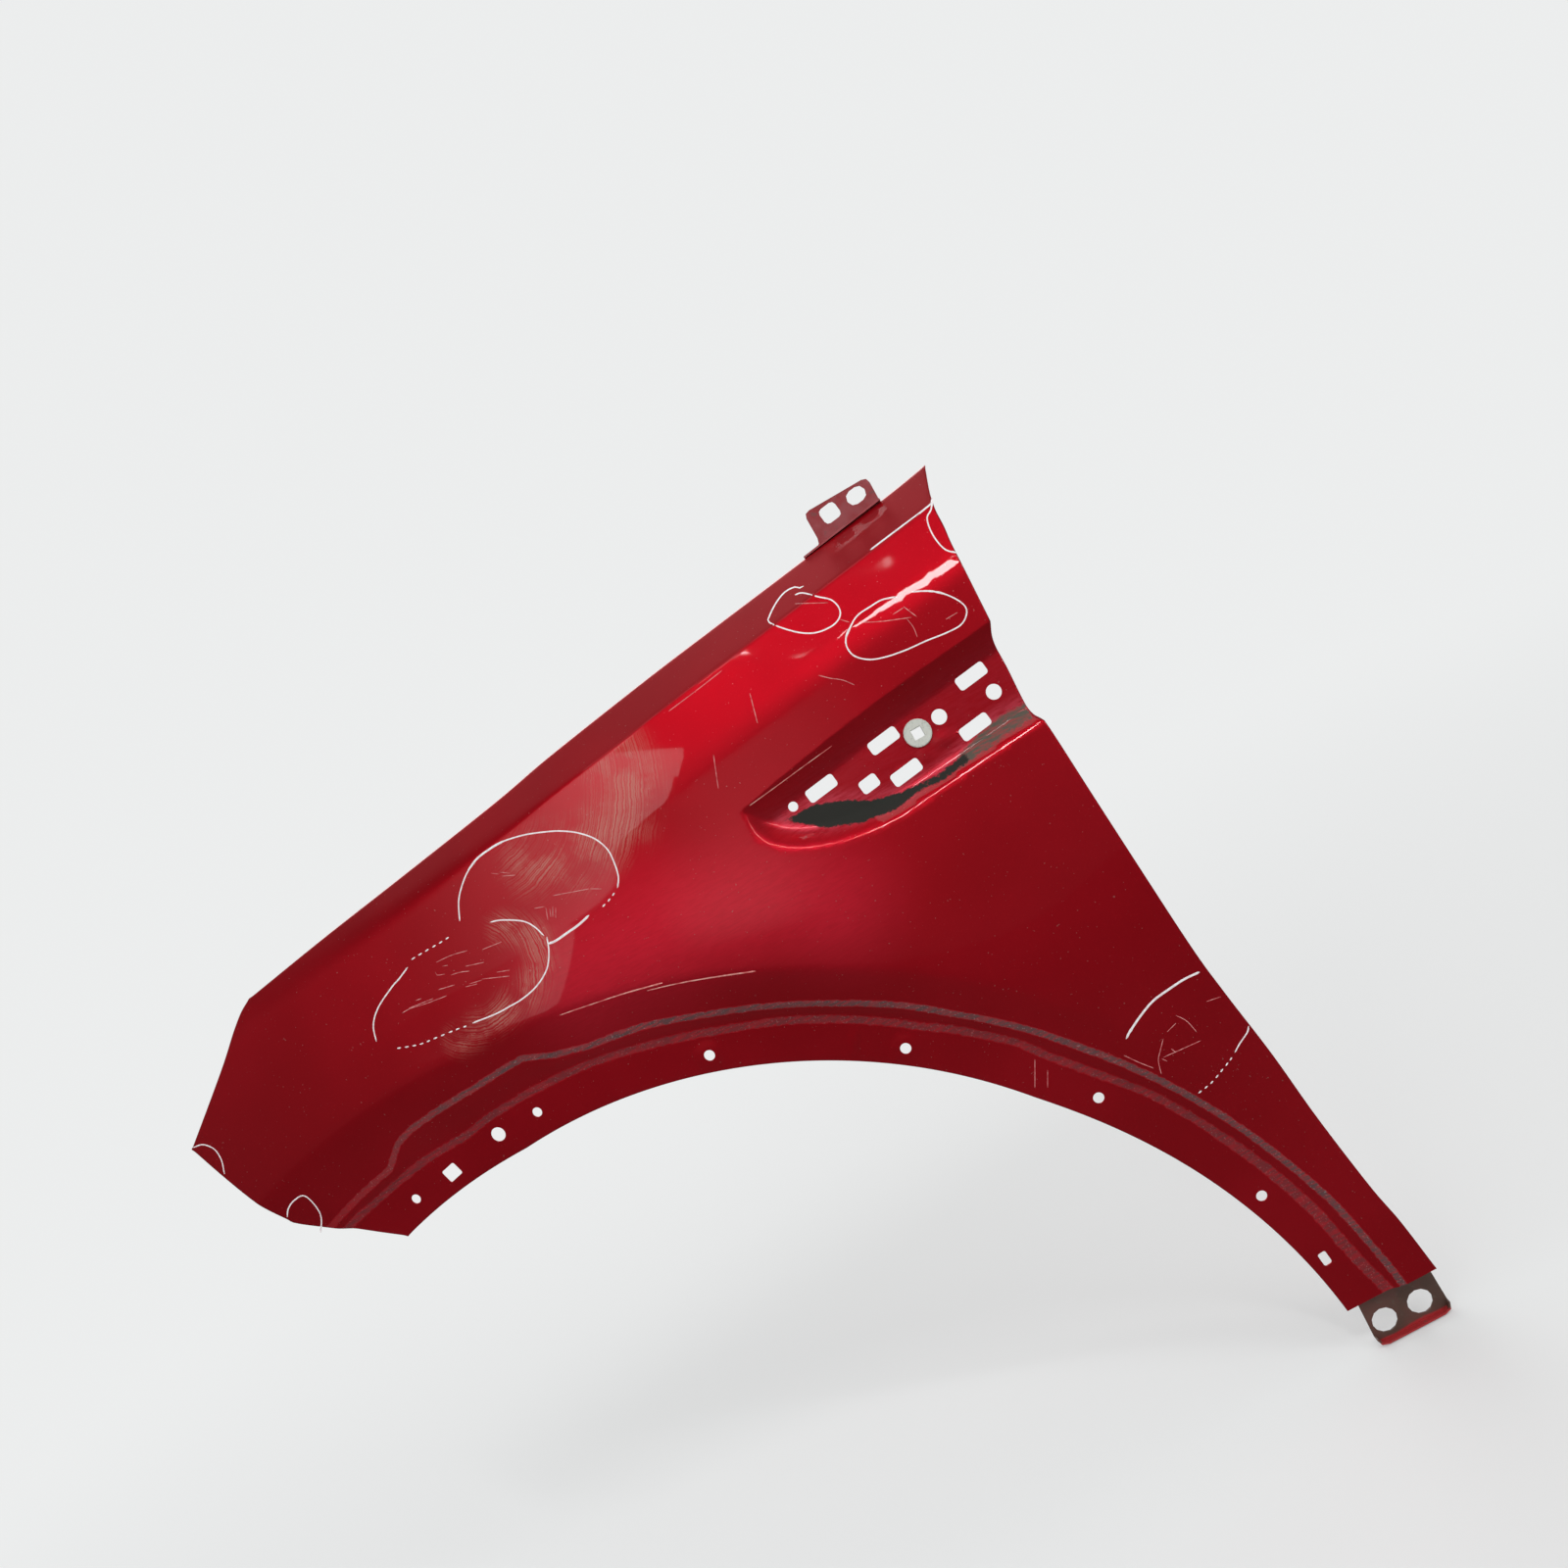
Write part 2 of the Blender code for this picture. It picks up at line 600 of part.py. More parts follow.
def hood_flange(mesh):
    """The hidden flange beside the bonnet, which carries the fender's upper bolts."""
    rear = HOOD_EDGE[0].x - FLANGE_END
    front = HOOD_EDGE[-1].x + FLANGE_END
    edge = [Vector((point.x, 0)) for point in HOOD_EDGE if front < point.x < rear]
    ends = (edge[-1].x + FLANGE_WIDTH / 2, edge[0].x - FLANGE_WIDTH / 2)
    upper = [Vector((point.x, FLANGE_WIDTH)) for point in reversed(edge) if ends[0] < point.x < ends[1]]
    holes = []
    for share in FLANGE_HOLE_shares:
        middle = Vector((ends[0] + share * (ends[1] - ends[0]), FLANGE_WIDTH / 2))
        holes.append(rounded_slot(middle, FLANGE_HOLE_LENGTH, FLANGE_HOLE_WIDTH, FLANGE_HOLE_CORNER, 0))
    cut_blank(mesh, edge + upper, holes, [], hood_flange_point)


def finished(name, mesh, finish, origin):
    """Make the object, with its place measured from the origin of the part."""
    bmesh.ops.translate(mesh, vec=-origin, verts=mesh.verts)
    data = bpy.data.meshes.new(name)
    mesh.to_mesh(data)
    mesh.free()
    data.shade_smooth()
    data.set_sharp_from_angle(angle=math.radians(SHARP_ANGLE))
    data.materials.append(finish)
    thing = bpy.data.objects.new(name, data)
    bpy.context.collection.objects.link(thing)
    return thing


def pressed_sheet(name, mesh, finish, origin, thickness, inboard):
    """Make an object of an open sheet, and give it its thickness on one side of the drawn face."""
    bmesh.ops.remove_doubles(mesh, verts=mesh.verts, dist=MERGE_GAP)
    bmesh.ops.recalc_face_normals(mesh, faces=mesh.faces)
    if sum(face.normal.y * face.calc_area() for face in mesh.faces) > 0:
        bmesh.ops.reverse_faces(mesh, faces=mesh.faces)
    thing = finished(name, mesh, finish, origin)
    wall = thing.modifiers.new("Sheet", "SOLIDIFY")
    wall.thickness = thickness
    wall.offset = -1 if inboard else 1
    wall.use_even_offset = True
    wall.use_quality_normals = True
    return thing


def fender_panel(finish, origin):
    """The pressed skin with its folds, recess, holes and turned edges."""
    mesh = bmesh.new()
    stretches = skin_outline()
    outline = [point for stretch in stretches.values() for point in stretch[:-1]]
    rows = arch_rows() + hood_rows() + recess_rows()
    placed = cut_blank(mesh, outline, arch_holes() + recess_holes(), rows, skin)
    turn_edge(mesh, placed, stretches["door"], Vector((-SHEET, DOOR_RETURN, 0)), CORNER_RELIEF)
    turn_edge(mesh, placed, stretches["lamp"], Vector((0, FRONT_RETURN, 0)), CORNER_RELIEF)
    turn_edge(mesh, placed, stretches["bumper"], Vector((0, FRONT_RETURN, 0)), CORNER_RELIEF)
    turn_edge(mesh, placed, stretches["arch"], Vector((0, ARCH_RETURN, 0)), CORNER_RELIEF)
    hood_flange(mesh)
    return pressed_sheet("fender_panel", mesh, finish, origin, SHEET, True)


def rounded_corners(points, corner):
    """A closed outline with each of its corners cut back and rounded."""
    loop = []
    for before, point, after in zip(points[-1:] + points[:-1], points, points[1:] + points[:1]):
        start = point + (before - point).normalized() * corner
        stop = point + (after - point).normalized() * corner
        for side in range(CORNER_SIDES):
            share = side / (CORNER_SIDES - 1)
            loop.append(start * (1 - share) ** 2 + point * (2 * share * (1 - share)) + stop * share ** 2)
    return loop


def upper_bracket_frame():
    """Where the rear upper bracket stands: its rear edge, its bolt face and its holes' height."""
    rear = HOOD_EDGE[0].x - UPPER_SETBACK
    middle = rear - UPPER_LENGTH / 2
    face = form(middle, height_on(HOOD_EDGE, middle)) + UPPER_INSET
    return Vector((rear, face, HEIGHT + UPPER_RISE - UPPER_HOLE_DROP))


def rear_upper_bracket(finish, origin):
    """The bolt tab that stands on the bonnet-side flange, with a square hole and an oval one."""
    place = upper_bracket_frame()
    front = place.x - UPPER_LENGTH
    count = round(UPPER_LENGTH / EDGE_PITCH)
    bend = []
    for step in range(count + 1):
        x = front + UPPER_LENGTH * step / count
        inboard = place.y - form(x, height_on(HOOD_EDGE, x))
        bend.append(Vector((x, hood_flange_point(Vector((x, inboard))).z + SEAT_GAP)))
    top = HEIGHT + UPPER_RISE
    stem = place.x - UPPER_STEM
    crown = rounded_corners([bend[-1], Vector((place.x, top)), Vector((stem, top)),
                             Vector((stem, bend[0].y + UPPER_SHOULDER_RISE)), bend[0]], UPPER_CORNER)
    upper = crown[CORNER_SIDES:-CORNER_SIDES]
    holes = [rounded_slot(Vector((place.x - UPPER_SQUARE_SETBACK, place.z)), UPPER_SQUARE_LENGTH,
                          UPPER_SQUARE_WIDTH, UPPER_SQUARE_CORNER, VENT_TILT_ANGLE),
             rounded_slot(Vector((place.x - UPPER_OVAL_SETBACK, place.z + UPPER_OVAL_RISE)),
                          UPPER_OVAL_LENGTH, UPPER_OVAL_WIDTH, UPPER_OVAL_CORNER, VENT_TILT_ANGLE)]
    mesh = bmesh.new()
    placed = cut_blank(mesh, bend + upper, holes, [], lambda flat: Vector((flat.x, place.y, flat.y)))
    rise = FLANGE_DIP * UPPER_FOOT / FLANGE_WIDTH
    turn_edge(mesh, placed, bend, Vector((0, -UPPER_FOOT, rise)), 0)
    return pressed_sheet("rear_upper_bracket", mesh, finish, origin, BRACKET_SHEET, False)


def rear_lower_bracket(finish, origin):
    """The joggled plate behind the foot of the fender, with two bolt holes and a turned-out rim."""
    pad_y = STEP_DEPTH + SHEET + SEAT_GAP
    front = arch_edge(0) + LOWER_SETBACK
    rear = front + LOWER_WIDTH
    pad_rear = front + LOWER_PAD_WIDTH
    outline = rounded_corners([Vector((rear, -LOWER_DROP)), Vector((rear, LOWER_JOGGLE_FOOT)),
                               Vector((pad_rear, LOWER_JOGGLE_TOP)), Vector((pad_rear, LOWER_PAD_TOP)),
                               Vector((front, LOWER_PAD_TOP)), Vector((front, -LOWER_DROP))], LOWER_CORNER)
    holes = [disc(Vector((front + LOWER_HOLE_INSET + side * LOWER_HOLE_SPACING, -LOWER_HOLE_DROP)),
                  LOWER_BOLT_HOLE) for side in (0, 1)]
    rows = [[Vector((front, z)), Vector((rear, z))] for z in (LOWER_JOGGLE_FOOT, LOWER_JOGGLE_TOP)]

    def lift(flat):
        down = (LOWER_JOGGLE_TOP - flat.y) / (LOWER_JOGGLE_TOP - LOWER_JOGGLE_FOOT)
        return Vector((flat.x, pad_y + LOWER_JOGGLE * min(1.0, max(0.0, down)), flat.y))

    mesh = bmesh.new()
    placed = cut_blank(mesh, outline, holes, rows, lift)
    lowest = outline[-CORNER_SIDES:] + outline[:CORNER_SIDES]
    turn_edge(mesh, placed, lowest, Vector((0, -LOWER_RIM, 0)), 0)
    return pressed_sheet("rear_lower_bracket", mesh, finish, origin, BRACKET_SHEET, True)


def vent_nut(finish, origin):
    """The white plastic nut: a round flange and a tapered shank, with a square hole right through."""
    place = recess_point(*NUT_PLACE_share)
    nudge = NUT_FLANGE / 2
    along = skin(place + Vector((nudge, 0))) - skin(place - Vector((nudge, 0)))
    up = skin(place + Vector((0, nudge))) - skin(place - Vector((0, nudge)))
    outward = along.cross(up).normalized()
    frame = Matrix((along.normalized(), outward.cross(along.normalized()), outward)).transposed().to_4x4()
    frame.translation = skin(place) + outward * SEAT_GAP - origin
    top = NUT_FLANGE_THICK
    profile = [(NUT_TIP / 2, -NUT_SHANK_LENGTH), (NUT_SHANK / 2, -NUT_SHANK_LENGTH / 2), (NUT_SHANK / 2, 0),
               (NUT_FLANGE / 2, 0), (NUT_FLANGE / 2, top - NUT_EDGE_ROUND),
               (NUT_FLANGE / 2 - NUT_EDGE_ROUND, top)]
    mesh = bmesh.new()
    rings = []
    for radius, height in profile:
        turns = [2 * math.pi * side / NUT_SIDES for side in range(NUT_SIDES)]
        rings.append([mesh.verts.new((radius * math.cos(turn), radius * math.sin(turn), height))
                      for turn in turns])
    for lower, upper in zip(rings, rings[1:]):
        for side in range(NUT_SIDES):
            after = (side + 1) % NUT_SIDES
            mesh.faces.new((lower[side], lower[after], upper[after], upper[side]))
    mesh.faces.new(rings[0][::-1])
    mesh.faces.new(rings[-1])
    nut = finished("vent_nut", mesh, finish, Vector((0, 0, 0)))
    nut.matrix_world = frame

    cutter_mesh = bmesh.new()
    bmesh.ops.create_cube(cutter_mesh, size=1)
    bmesh.ops.scale(cutter_mesh, vec=(NUT_BORE, NUT_BORE, 4 * NUT_SHANK_LENGTH), verts=cutter_mesh.verts)
    cutter = finished("vent_nut_bore", cutter_mesh, finish, Vector((0, 0, 0)))
    cutter.matrix_world = frame
    cutter.hide_render = True
    cutter.display_type = "WIRE"
    bore = nut.modifiers.new("Bore", "BOOLEAN")
    bore.operation = "DIFFERENCE"
    bore.object = cutter
    return nut


def main():
    clear_scene()
    origin = upper_bracket_frame()
    web_front = UPPER_SQUARE_SETBACK - UPPER_SQUARE_LENGTH / 2
    web_rear = UPPER_OVAL_SETBACK + UPPER_OVAL_LENGTH / 2
    origin.x -= (web_front + web_rear) / 2
    fender_panel(paint("red_paint", (0.42, 0.010, 0.018), 0.28, 0.55, 1.0), origin)
    rear_upper_bracket(paint("thin_red_paint", (0.46, 0.085, 0.10), 0.40, 0.20, 0.3), origin)
    rear_lower_bracket(paint("dull_red_paint", (0.20, 0.030, 0.028), 0.45, 0.20, 0.2), origin)
    vent_nut(paint("white_nylon", (0.62, 0.63, 0.58), 0.50, 0.0, 0.0), origin)


main()
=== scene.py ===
import math

import bpy
import numpy as np
from mathutils import Matrix, Vector
from mathutils.geometry import delaunay_2d_cdt
from mathutils.kdtree import KDTree


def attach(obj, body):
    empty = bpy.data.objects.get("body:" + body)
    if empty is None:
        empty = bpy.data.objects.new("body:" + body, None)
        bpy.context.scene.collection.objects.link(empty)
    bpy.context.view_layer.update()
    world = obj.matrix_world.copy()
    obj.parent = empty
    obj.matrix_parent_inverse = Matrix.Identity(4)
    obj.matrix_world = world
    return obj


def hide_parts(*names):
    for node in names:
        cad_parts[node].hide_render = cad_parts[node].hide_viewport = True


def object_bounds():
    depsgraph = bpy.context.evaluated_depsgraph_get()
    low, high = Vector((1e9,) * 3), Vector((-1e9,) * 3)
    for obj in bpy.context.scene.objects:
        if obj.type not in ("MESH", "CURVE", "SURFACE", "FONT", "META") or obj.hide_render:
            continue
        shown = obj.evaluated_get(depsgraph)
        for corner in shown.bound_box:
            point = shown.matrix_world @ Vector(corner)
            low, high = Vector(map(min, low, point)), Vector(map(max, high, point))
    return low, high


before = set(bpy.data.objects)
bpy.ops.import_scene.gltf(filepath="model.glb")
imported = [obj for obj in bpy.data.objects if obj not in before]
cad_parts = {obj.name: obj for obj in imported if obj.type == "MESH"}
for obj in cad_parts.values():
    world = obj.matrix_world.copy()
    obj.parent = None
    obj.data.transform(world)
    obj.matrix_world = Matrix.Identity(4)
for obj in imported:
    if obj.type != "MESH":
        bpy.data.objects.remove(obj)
cad_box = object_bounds()
bpy.ops.object.select_all(action="DESELECT")

# The camera. It looks at the painted outside from slightly above and behind the wheel, through a
# normal lens, and is rolled to the left, so that the front end of the fender drops to the lower left.
CAMERA_AIM = Vector((-0.142, -0.134, -0.153))
CAMERA_DISTANCE = 1.135
CAMERA_AZIMUTH = math.radians(4.0)
CAMERA_ELEVATION = math.radians(7.0)
CAMERA_ROLL = math.radians(30.2)
CAMERA_LENS = 36.0
SENSOR_WIDTH = 36.0

camera_back = Vector((math.sin(CAMERA_AZIMUTH) * math.cos(CAMERA_ELEVATION),
                      -math.cos(CAMERA_AZIMUTH) * math.cos(CAMERA_ELEVATION),
                      math.sin(CAMERA_ELEVATION)))
level_up = (Vector((0, 0, 1)) - camera_back * camera_back.z).normalized()
level_right = level_up.cross(camera_back)
camera_right = level_right * math.cos(CAMERA_ROLL) - level_up * math.sin(CAMERA_ROLL)
camera_up = level_right * math.sin(CAMERA_ROLL) + level_up * math.cos(CAMERA_ROLL)
camera_eye = CAMERA_AIM + camera_back * CAMERA_DISTANCE
lens = bpy.data.cameras.new("photo_camera")
lens.lens = CAMERA_LENS
lens.sensor_width = SENSOR_WIDTH
camera = bpy.data.objects.new("photo_camera", lens)
bpy.context.collection.objects.link(camera)
camera.matrix_world = Matrix.Translation(camera_eye) @ Matrix((camera_right, camera_up,
                                                               camera_back)).transposed().to_4x4()
bpy.context.scene.camera = camera

# The pressed skin. One sheet of 0.8 mm steel: crown, flare, trim seat, bonnet ledge, shoulder and garnish
# recess come from one press form, then the sheet is trimmed, pierced and turned in at its edges. Its
# outlines are drawn in the side plane, from the wheel's centre: x to the rear and z up.

# The skin lies 0.1 mm further in than the solid one, so that the marks on it stay inside the CAD box.
WHEEL_CENTRE = Vector((-0.417968, -0.133872, -0.721))
LENGTH, HEIGHT, SHEET = 0.819, 0.716, 0.0008
PITCH = 0.0034
EDGE_PITCH = 0.0032


def smooth(value):
    held = np.clip(value, 0.0, 1.0)
    return held * held * (3.0 - 2.0 * held)


def soft_ramp(value, radius):
    rounded = (value + radius) ** 2 / (4.0 * radius)
    return np.where(value <= -radius, 0.0, np.where(value >= radius, value, rounded))


def soft_least(a, b, radius):
    return a - soft_ramp(a - b, radius)


def curve(points, pitch):
    """A smooth curve through points, sampled about every pitch."""
    points = np.array(points, dtype=float)
    ends = np.vstack([2 * points[0] - points[1], points, 2 * points[-1] - points[-2]])
    made = []
    for before, start, stop, after in zip(ends, ends[1:], ends[2:], ends[3:]):
        count = max(1, round(float(np.linalg.norm(stop - start)) / pitch))
        for t in np.arange(count) / count:
            made.append(0.5 * (2 * start + (stop - before) * t
                               + (2 * before - 5 * start + 4 * stop - after) * t * t
                               + (3 * start - before - 3 * stop + after) * t ** 3))
    return np.vstack([*made, points[-1]])


def panel_curve(shares, pitch):
    return curve(np.array(shares) * (LENGTH, HEIGHT), pitch)


def height_on(line, x):
    """Height of a line that runs from rear to front, carried on straight past its ends."""
    order = line[::-1]
    slopes = np.diff(order[:, 1]) / np.diff(order[:, 0])
    inner = np.interp(x, order[:, 0], order[:, 1])
    front = np.minimum(0.0, x - order[0, 0]) * slopes[0]
    rear = np.maximum(0.0, x - order[-1, 0]) * slopes[-1]
    return inner + front + rear


hood = panel_curve(((0.597, 1.000), (0.546, 0.991), (0.4486, 0.977), (0.344, 0.9625), (0.2634, 0.951),
                    (0.148, 0.932), (0.079, 0.918), (-0.045, 0.8975), (-0.132, 0.8835),
                    (-0.234, 0.865)), EDGE_PITCH)

# The wheel arch is a circle that opens a little toward its two feet. Angles go up from the rear one.
ARCH_RADIUS, REAR_SPREAD, FRONT_SPREAD = 0.4165, 0.0290, 0.0125
REAR_SPREAD_ANGLE, FRONT_SPREAD_ANGLE, FRONT_TIP_ANGLE = 40.0, 96.0, 113.6


def arch_edge(angle):
    rear = np.maximum(0.0, (REAR_SPREAD_ANGLE - angle) / REAR_SPREAD_ANGLE)
    front = np.maximum(0.0, (angle - FRONT_SPREAD_ANGLE) / (FRONT_TIP_ANGLE - FRONT_SPREAD_ANGLE))
    return ARCH_RADIUS + REAR_SPREAD * rear ** 1.3 + FRONT_SPREAD * front ** 1.1


def arch_point(angle, out):
    turn = np.radians(angle)
    reach = arch_edge(angle) + out
    return np.stack([reach * np.cos(turn), reach * np.sin(turn)], axis=-1)


def arch_place(x, z):
    angle = np.degrees(np.arctan2(z, x))
    return angle, np.hypot(x, z) - arch_edge(angle)


# The step of the trim seat and the flare's fold, as ways out from the arch's edge.
STEP_FOOT, STEP_HEAD, STEP_DEPTH = 0.0340, 0.0485, 0.0050
STEP_WAVE, WAVE_FIRST, WAVE_LAST, WAVE_FADE = 0.0150, 86.0, 110.0, 6.0
FOLD_OUT, FOLD_SPREAD, FOLD_SPREAD_FIRST, FOLD_SPREAD_ANGLES = 0.0745, 0.0200, 60.0, 40.0


def flange_point(angle, share):
    return arch_point(angle, share * STEP_FOOT)


def step_head(angle):
    wave = STEP_WAVE * smooth((angle - WAVE_FIRST) / WAVE_FADE)
    return STEP_HEAD + wave * smooth((WAVE_LAST - angle) / WAVE_FADE)


def fold_line(angle):
    return FOLD_OUT + FOLD_SPREAD * np.maximum(0.0, (angle - FOLD_SPREAD_FIRST) / FOLD_SPREAD_ANGLES) ** 1.4


# The crease under the bonnet ledge. The ledge is narrow and round in front and wide and sharp at the rear.
LEDGE_FRONT, LEDGE_WIDENING = 0.0140, 0.0115
LEDGE_WIDENING_START, LEDGE_WIDENING_RUN = -0.200, 0.400


def ledge_share(x):
    return smooth((x - LEDGE_WIDENING_START) / LEDGE_WIDENING_RUN)


def crease_height(x):
    return height_on(hood, x) - LEDGE_FRONT - LEDGE_WIDENING * ledge_share(x)


# The garnish recess: a sharp upper crease with a sloped wall, a round nose and a soft lower rim.
RECESS_TIP, RECESS_END, RECESS_OVERRUN, RECESS_DEPTH = 0.2362, 0.4591, 0.0300, 0.0130
RECESS_CREASE, CREASE_SLOPE, CREASE_BOW, RIM_SLOPE = 0.5623, 0.1316, 0.0035, 0.0820
NOSE_LENGTH, NOSE_DROP, NOSE_HEIGHT = 0.1080, 0.0150, 0.0465
RECESS_WALL, RECESS_RIM, RECESS_MARGIN = 0.0215, 0.0150, 0.0010
RIM_SOFTNESS, WALL_SOFTNESS, FLOOR_SOFTNESS = 0.0010, 0.0005, 0.0014
RIB_FRONT, RIB_REAR, RIB_FADE, RIB_MIDDLE = 0.372, 0.409, 0.004, (0.39, 0.5325)
RIB_HEIGHT, RIB_WIDTH, RIB_SHIFTS = 0.0008, 0.0008, (-0.0030, 0.0, 0.0030)
NOSE_POINTS, RIM_POINTS = 30, 45


def recess_crease(x):
    along = x - RECESS_TIP
    share = np.clip(along / (RECESS_END - RECESS_TIP), 0.0, 1.0)
    return RECESS_CREASE + CREASE_SLOPE * along + CREASE_BOW * np.sin(math.pi * share)


nose_turns = np.linspace(0.0, math.pi / 2, NOSE_POINTS)
nose = np.stack([RECESS_TIP + NOSE_LENGTH * (1 - np.cos(nose_turns)),
                 RECESS_CREASE - NOSE_DROP - NOSE_HEIGHT * np.sin(nose_turns)], axis=-1)
rim_run = np.linspace(0.0, RECESS_END + RECESS_OVERRUN - nose[-1, 0], RIM_POINTS)[1:]
rim = np.vstack([(RECESS_TIP, RECESS_CREASE), nose, nose[-1] + np.outer(rim_run, (1.0, RIM_SLOPE))])


def distance_to(chain, x, z):
    """Shortest way from each point to a chain of straight runs."""
    best = np.full(np.shape(x), np.inf)
    for start, stop in zip(chain, chain[1:]):
        run = stop - start
        share = np.clip(((x - start[0]) * run[0] + (z - start[1]) * run[1]) / run.dot(run), 0.0, 1.0)
        best = np.minimum(best, np.hypot(x - start[0] - run[0] * share, z - start[1] - run[1] * share))
    return best


def recess_depth(x, z):
    """How deep the recess is pressed in, less the three fine ribs on its floor."""
    crease = recess_crease(x)
    lower = np.interp(x, rim[1:, 0], rim[1:, 1])
    within = (x > RECESS_TIP) & (z < crease + RECESS_MARGIN) & (z > lower - RECESS_MARGIN)
    depth = np.zeros(np.shape(x))
    here = np.nonzero(within)
    if len(here[0]):
        hx, hz = x[here], z[here]
        sign = np.where((hz < crease[here]) & (hz > lower[here]), 1.0, -1.0)
        past = sign * distance_to(rim, hx, hz)
        quick = 1.0 - (1.0 - np.clip(soft_ramp(past, RIM_SOFTNESS) / RECESS_RIM, 0.0, 1.0)) ** 2
        lip = RECESS_DEPTH * (0.6 * smooth(np.maximum(0.0, past) / RECESS_RIM) + 0.4 * quick)
        wall = soft_ramp(RECESS_DEPTH / RECESS_WALL * (crease[here] - hz), WALL_SOFTNESS)
        bowl = soft_least(soft_least(lip, wall, FLOOR_SOFTNESS), RECESS_DEPTH, FLOOR_SOFTNESS)
        depth[here] = np.maximum(0.0, bowl)
        along = smooth((hx - RIB_FRONT) / RIB_FADE) * smooth((RIB_REAR - hx) / RIB_FADE)
        for shift in RIB_SHIFTS:
            above = hz - CREASE_SLOPE * (hx - RIB_MIDDLE[0]) - RIB_MIDDLE[1] - shift
            depth[here] -= RIB_HEIGHT * along * np.exp(-(above / RIB_WIDTH) ** 2)
    return depth


BEAD_ANGLE, BEAD_FOOT, BEAD_HALF_LENGTH, BEAD_HALF_WIDTH, BEAD_HEIGHT = 58.95, 0.0045, 0.0110, 0.0030, 0.0012
SEAT_HEIGHT, SEAT_RADIUS, SEAT_SLOPE = 0.0009, 0.0110, 0.0025
RAISED_HOLES = ((73.6, 0.42), (53.8, 0.406))


def bead(x, z):
    """The short rib across the arch flange, and the raised seats round two of its holes."""
    angle, out = arch_place(x, z)
    across = np.radians(angle - BEAD_ANGLE) * (ARCH_RADIUS + out) / BEAD_HALF_WIDTH
    along = (out - BEAD_FOOT - BEAD_HALF_LENGTH) / BEAD_HALF_LENGTH
    height = BEAD_HEIGHT * np.maximum(0.0, 1 - across ** 2) * np.maximum(0.0, 1 - along ** 4)
    for place in RAISED_HOLES:
        centre = flange_point(*place)
        reach = np.hypot(x - centre[0], z - centre[1])
        height = height + SEAT_HEIGHT * smooth((SEAT_RADIUS - reach) / SEAT_SLOPE)
    return height


CROWN_START, CROWN_RADIUS, SWEEP_START, SWEEP_RADIUS = 0.200, 2.050, 0.250, 1.950
SHOULDER_SLOPE, SHOULDER_RUN, SHOULDER_DROP, SHOULDER_ROUND = 0.42, 0.420, 0.046, 0.012
LEDGE_SLOPE, LEDGE_SHARP, LEDGE_ROUND = 1.35, 0.0008, 0.0112
FLARE_HEIGHT, FLARE_REACH, FLARE_FIRST, FLARE_ANGLES = 0.0100, 0.085, 22.0, 44.0
LIP_DEPTH, LIP_SOFTNESS = 0.0100, 0.02


def form(x, z):
    """How far inboard the outer face of the skin lies."""
    x, z = np.asarray(x, dtype=float), np.asarray(z, dtype=float)
    crown = np.maximum(0.0, z - CROWN_START) ** 2 / (2 * CROWN_RADIUS)
    sweep = np.maximum(0.0, SWEEP_START - x) ** 2 / (2 * SWEEP_RADIUS)
    above = z - crease_height(x)
    shoulder = SHOULDER_SLOPE * smooth(x / SHOULDER_RUN) * soft_ramp(above + SHOULDER_DROP, SHOULDER_ROUND)
    ledge_round = LEDGE_SHARP + LEDGE_ROUND * (1 - ledge_share(x))
    ledge = LEDGE_SLOPE * soft_ramp(above, ledge_round) * smooth((x + ARCH_RADIUS) / ARCH_RADIUS)
    angle, out = arch_place(x, z)
    along = smooth((angle - FLARE_FIRST) / FLARE_ANGLES)
    fold = fold_line(angle)
    down = np.clip(soft_ramp((fold - out) / (fold - STEP_FOOT), LIP_SOFTNESS), 0.0, 1.0)
    lip = LIP_DEPTH * along * (0.4 * smooth(down) + 0.6 * (1.0 - (1.0 - down) ** 2))
    step = STEP_DEPTH * smooth((step_head(angle) - out) / (step_head(angle) - STEP_FOOT))
    flare = FLARE_HEIGHT * along * np.exp(-((out - fold) / FLARE_REACH) ** 2)
    shape = crown + sweep + shoulder + ledge + lip + step - flare - bead(x, z)
    return shape + recess_depth(np.atleast_1d(x), np.atleast_1d(z)).reshape(np.shape(x))


def skin(flat):
    """Lifts points of the side plane onto the outer face of the skin."""
    flat = np.asarray(flat)
    return np.stack([flat[:, 0], form(flat[:, 0], flat[:, 1]), flat[:, 1]], axis=-1)


DISC_SIDES, CORNER_POINTS = 28, 6


def disc(centre, diameter):
    turns = np.linspace(0.0, 2 * math.pi, DISC_SIDES, endpoint=False)
    return centre + np.stack([np.cos(turns), np.sin(turns)], axis=-1) * diameter / 2


def rounded_slot(centre, length, width, corner, tilt):
    """A rectangular hole with round corners, its long side turned up by tilt degrees."""
    turns = np.linspace(0.0, math.pi / 2, CORNER_POINTS)
    loop = []
    for quarter, (side_x, side_z) in enumerate(((1, 1), (-1, 1), (-1, -1), (1, -1))):
        pivot = np.array((side_x * (length / 2 - corner), side_z * (width / 2 - corner)))
        spin = turns + quarter * math.pi / 2
        loop.append(pivot + corner * np.stack([np.cos(spin), np.sin(spin)], axis=-1))
    loop = np.vstack(loop)
    turn = math.radians(tilt)
    return centre + loop @ np.array(((math.cos(turn), math.sin(turn)), (-math.sin(turn), math.cos(turn))))


def recess_point(along, down):
    """A place in the recess, by its shares of the way to the rear and of the way down to the rim."""
    x = RECESS_TIP + along * (RECESS_END - RECESS_TIP)
    top = recess_crease(x)
    return np.array((x, top - down * (top - np.interp(x, rim[1:, 0], rim[1:, 1]))))


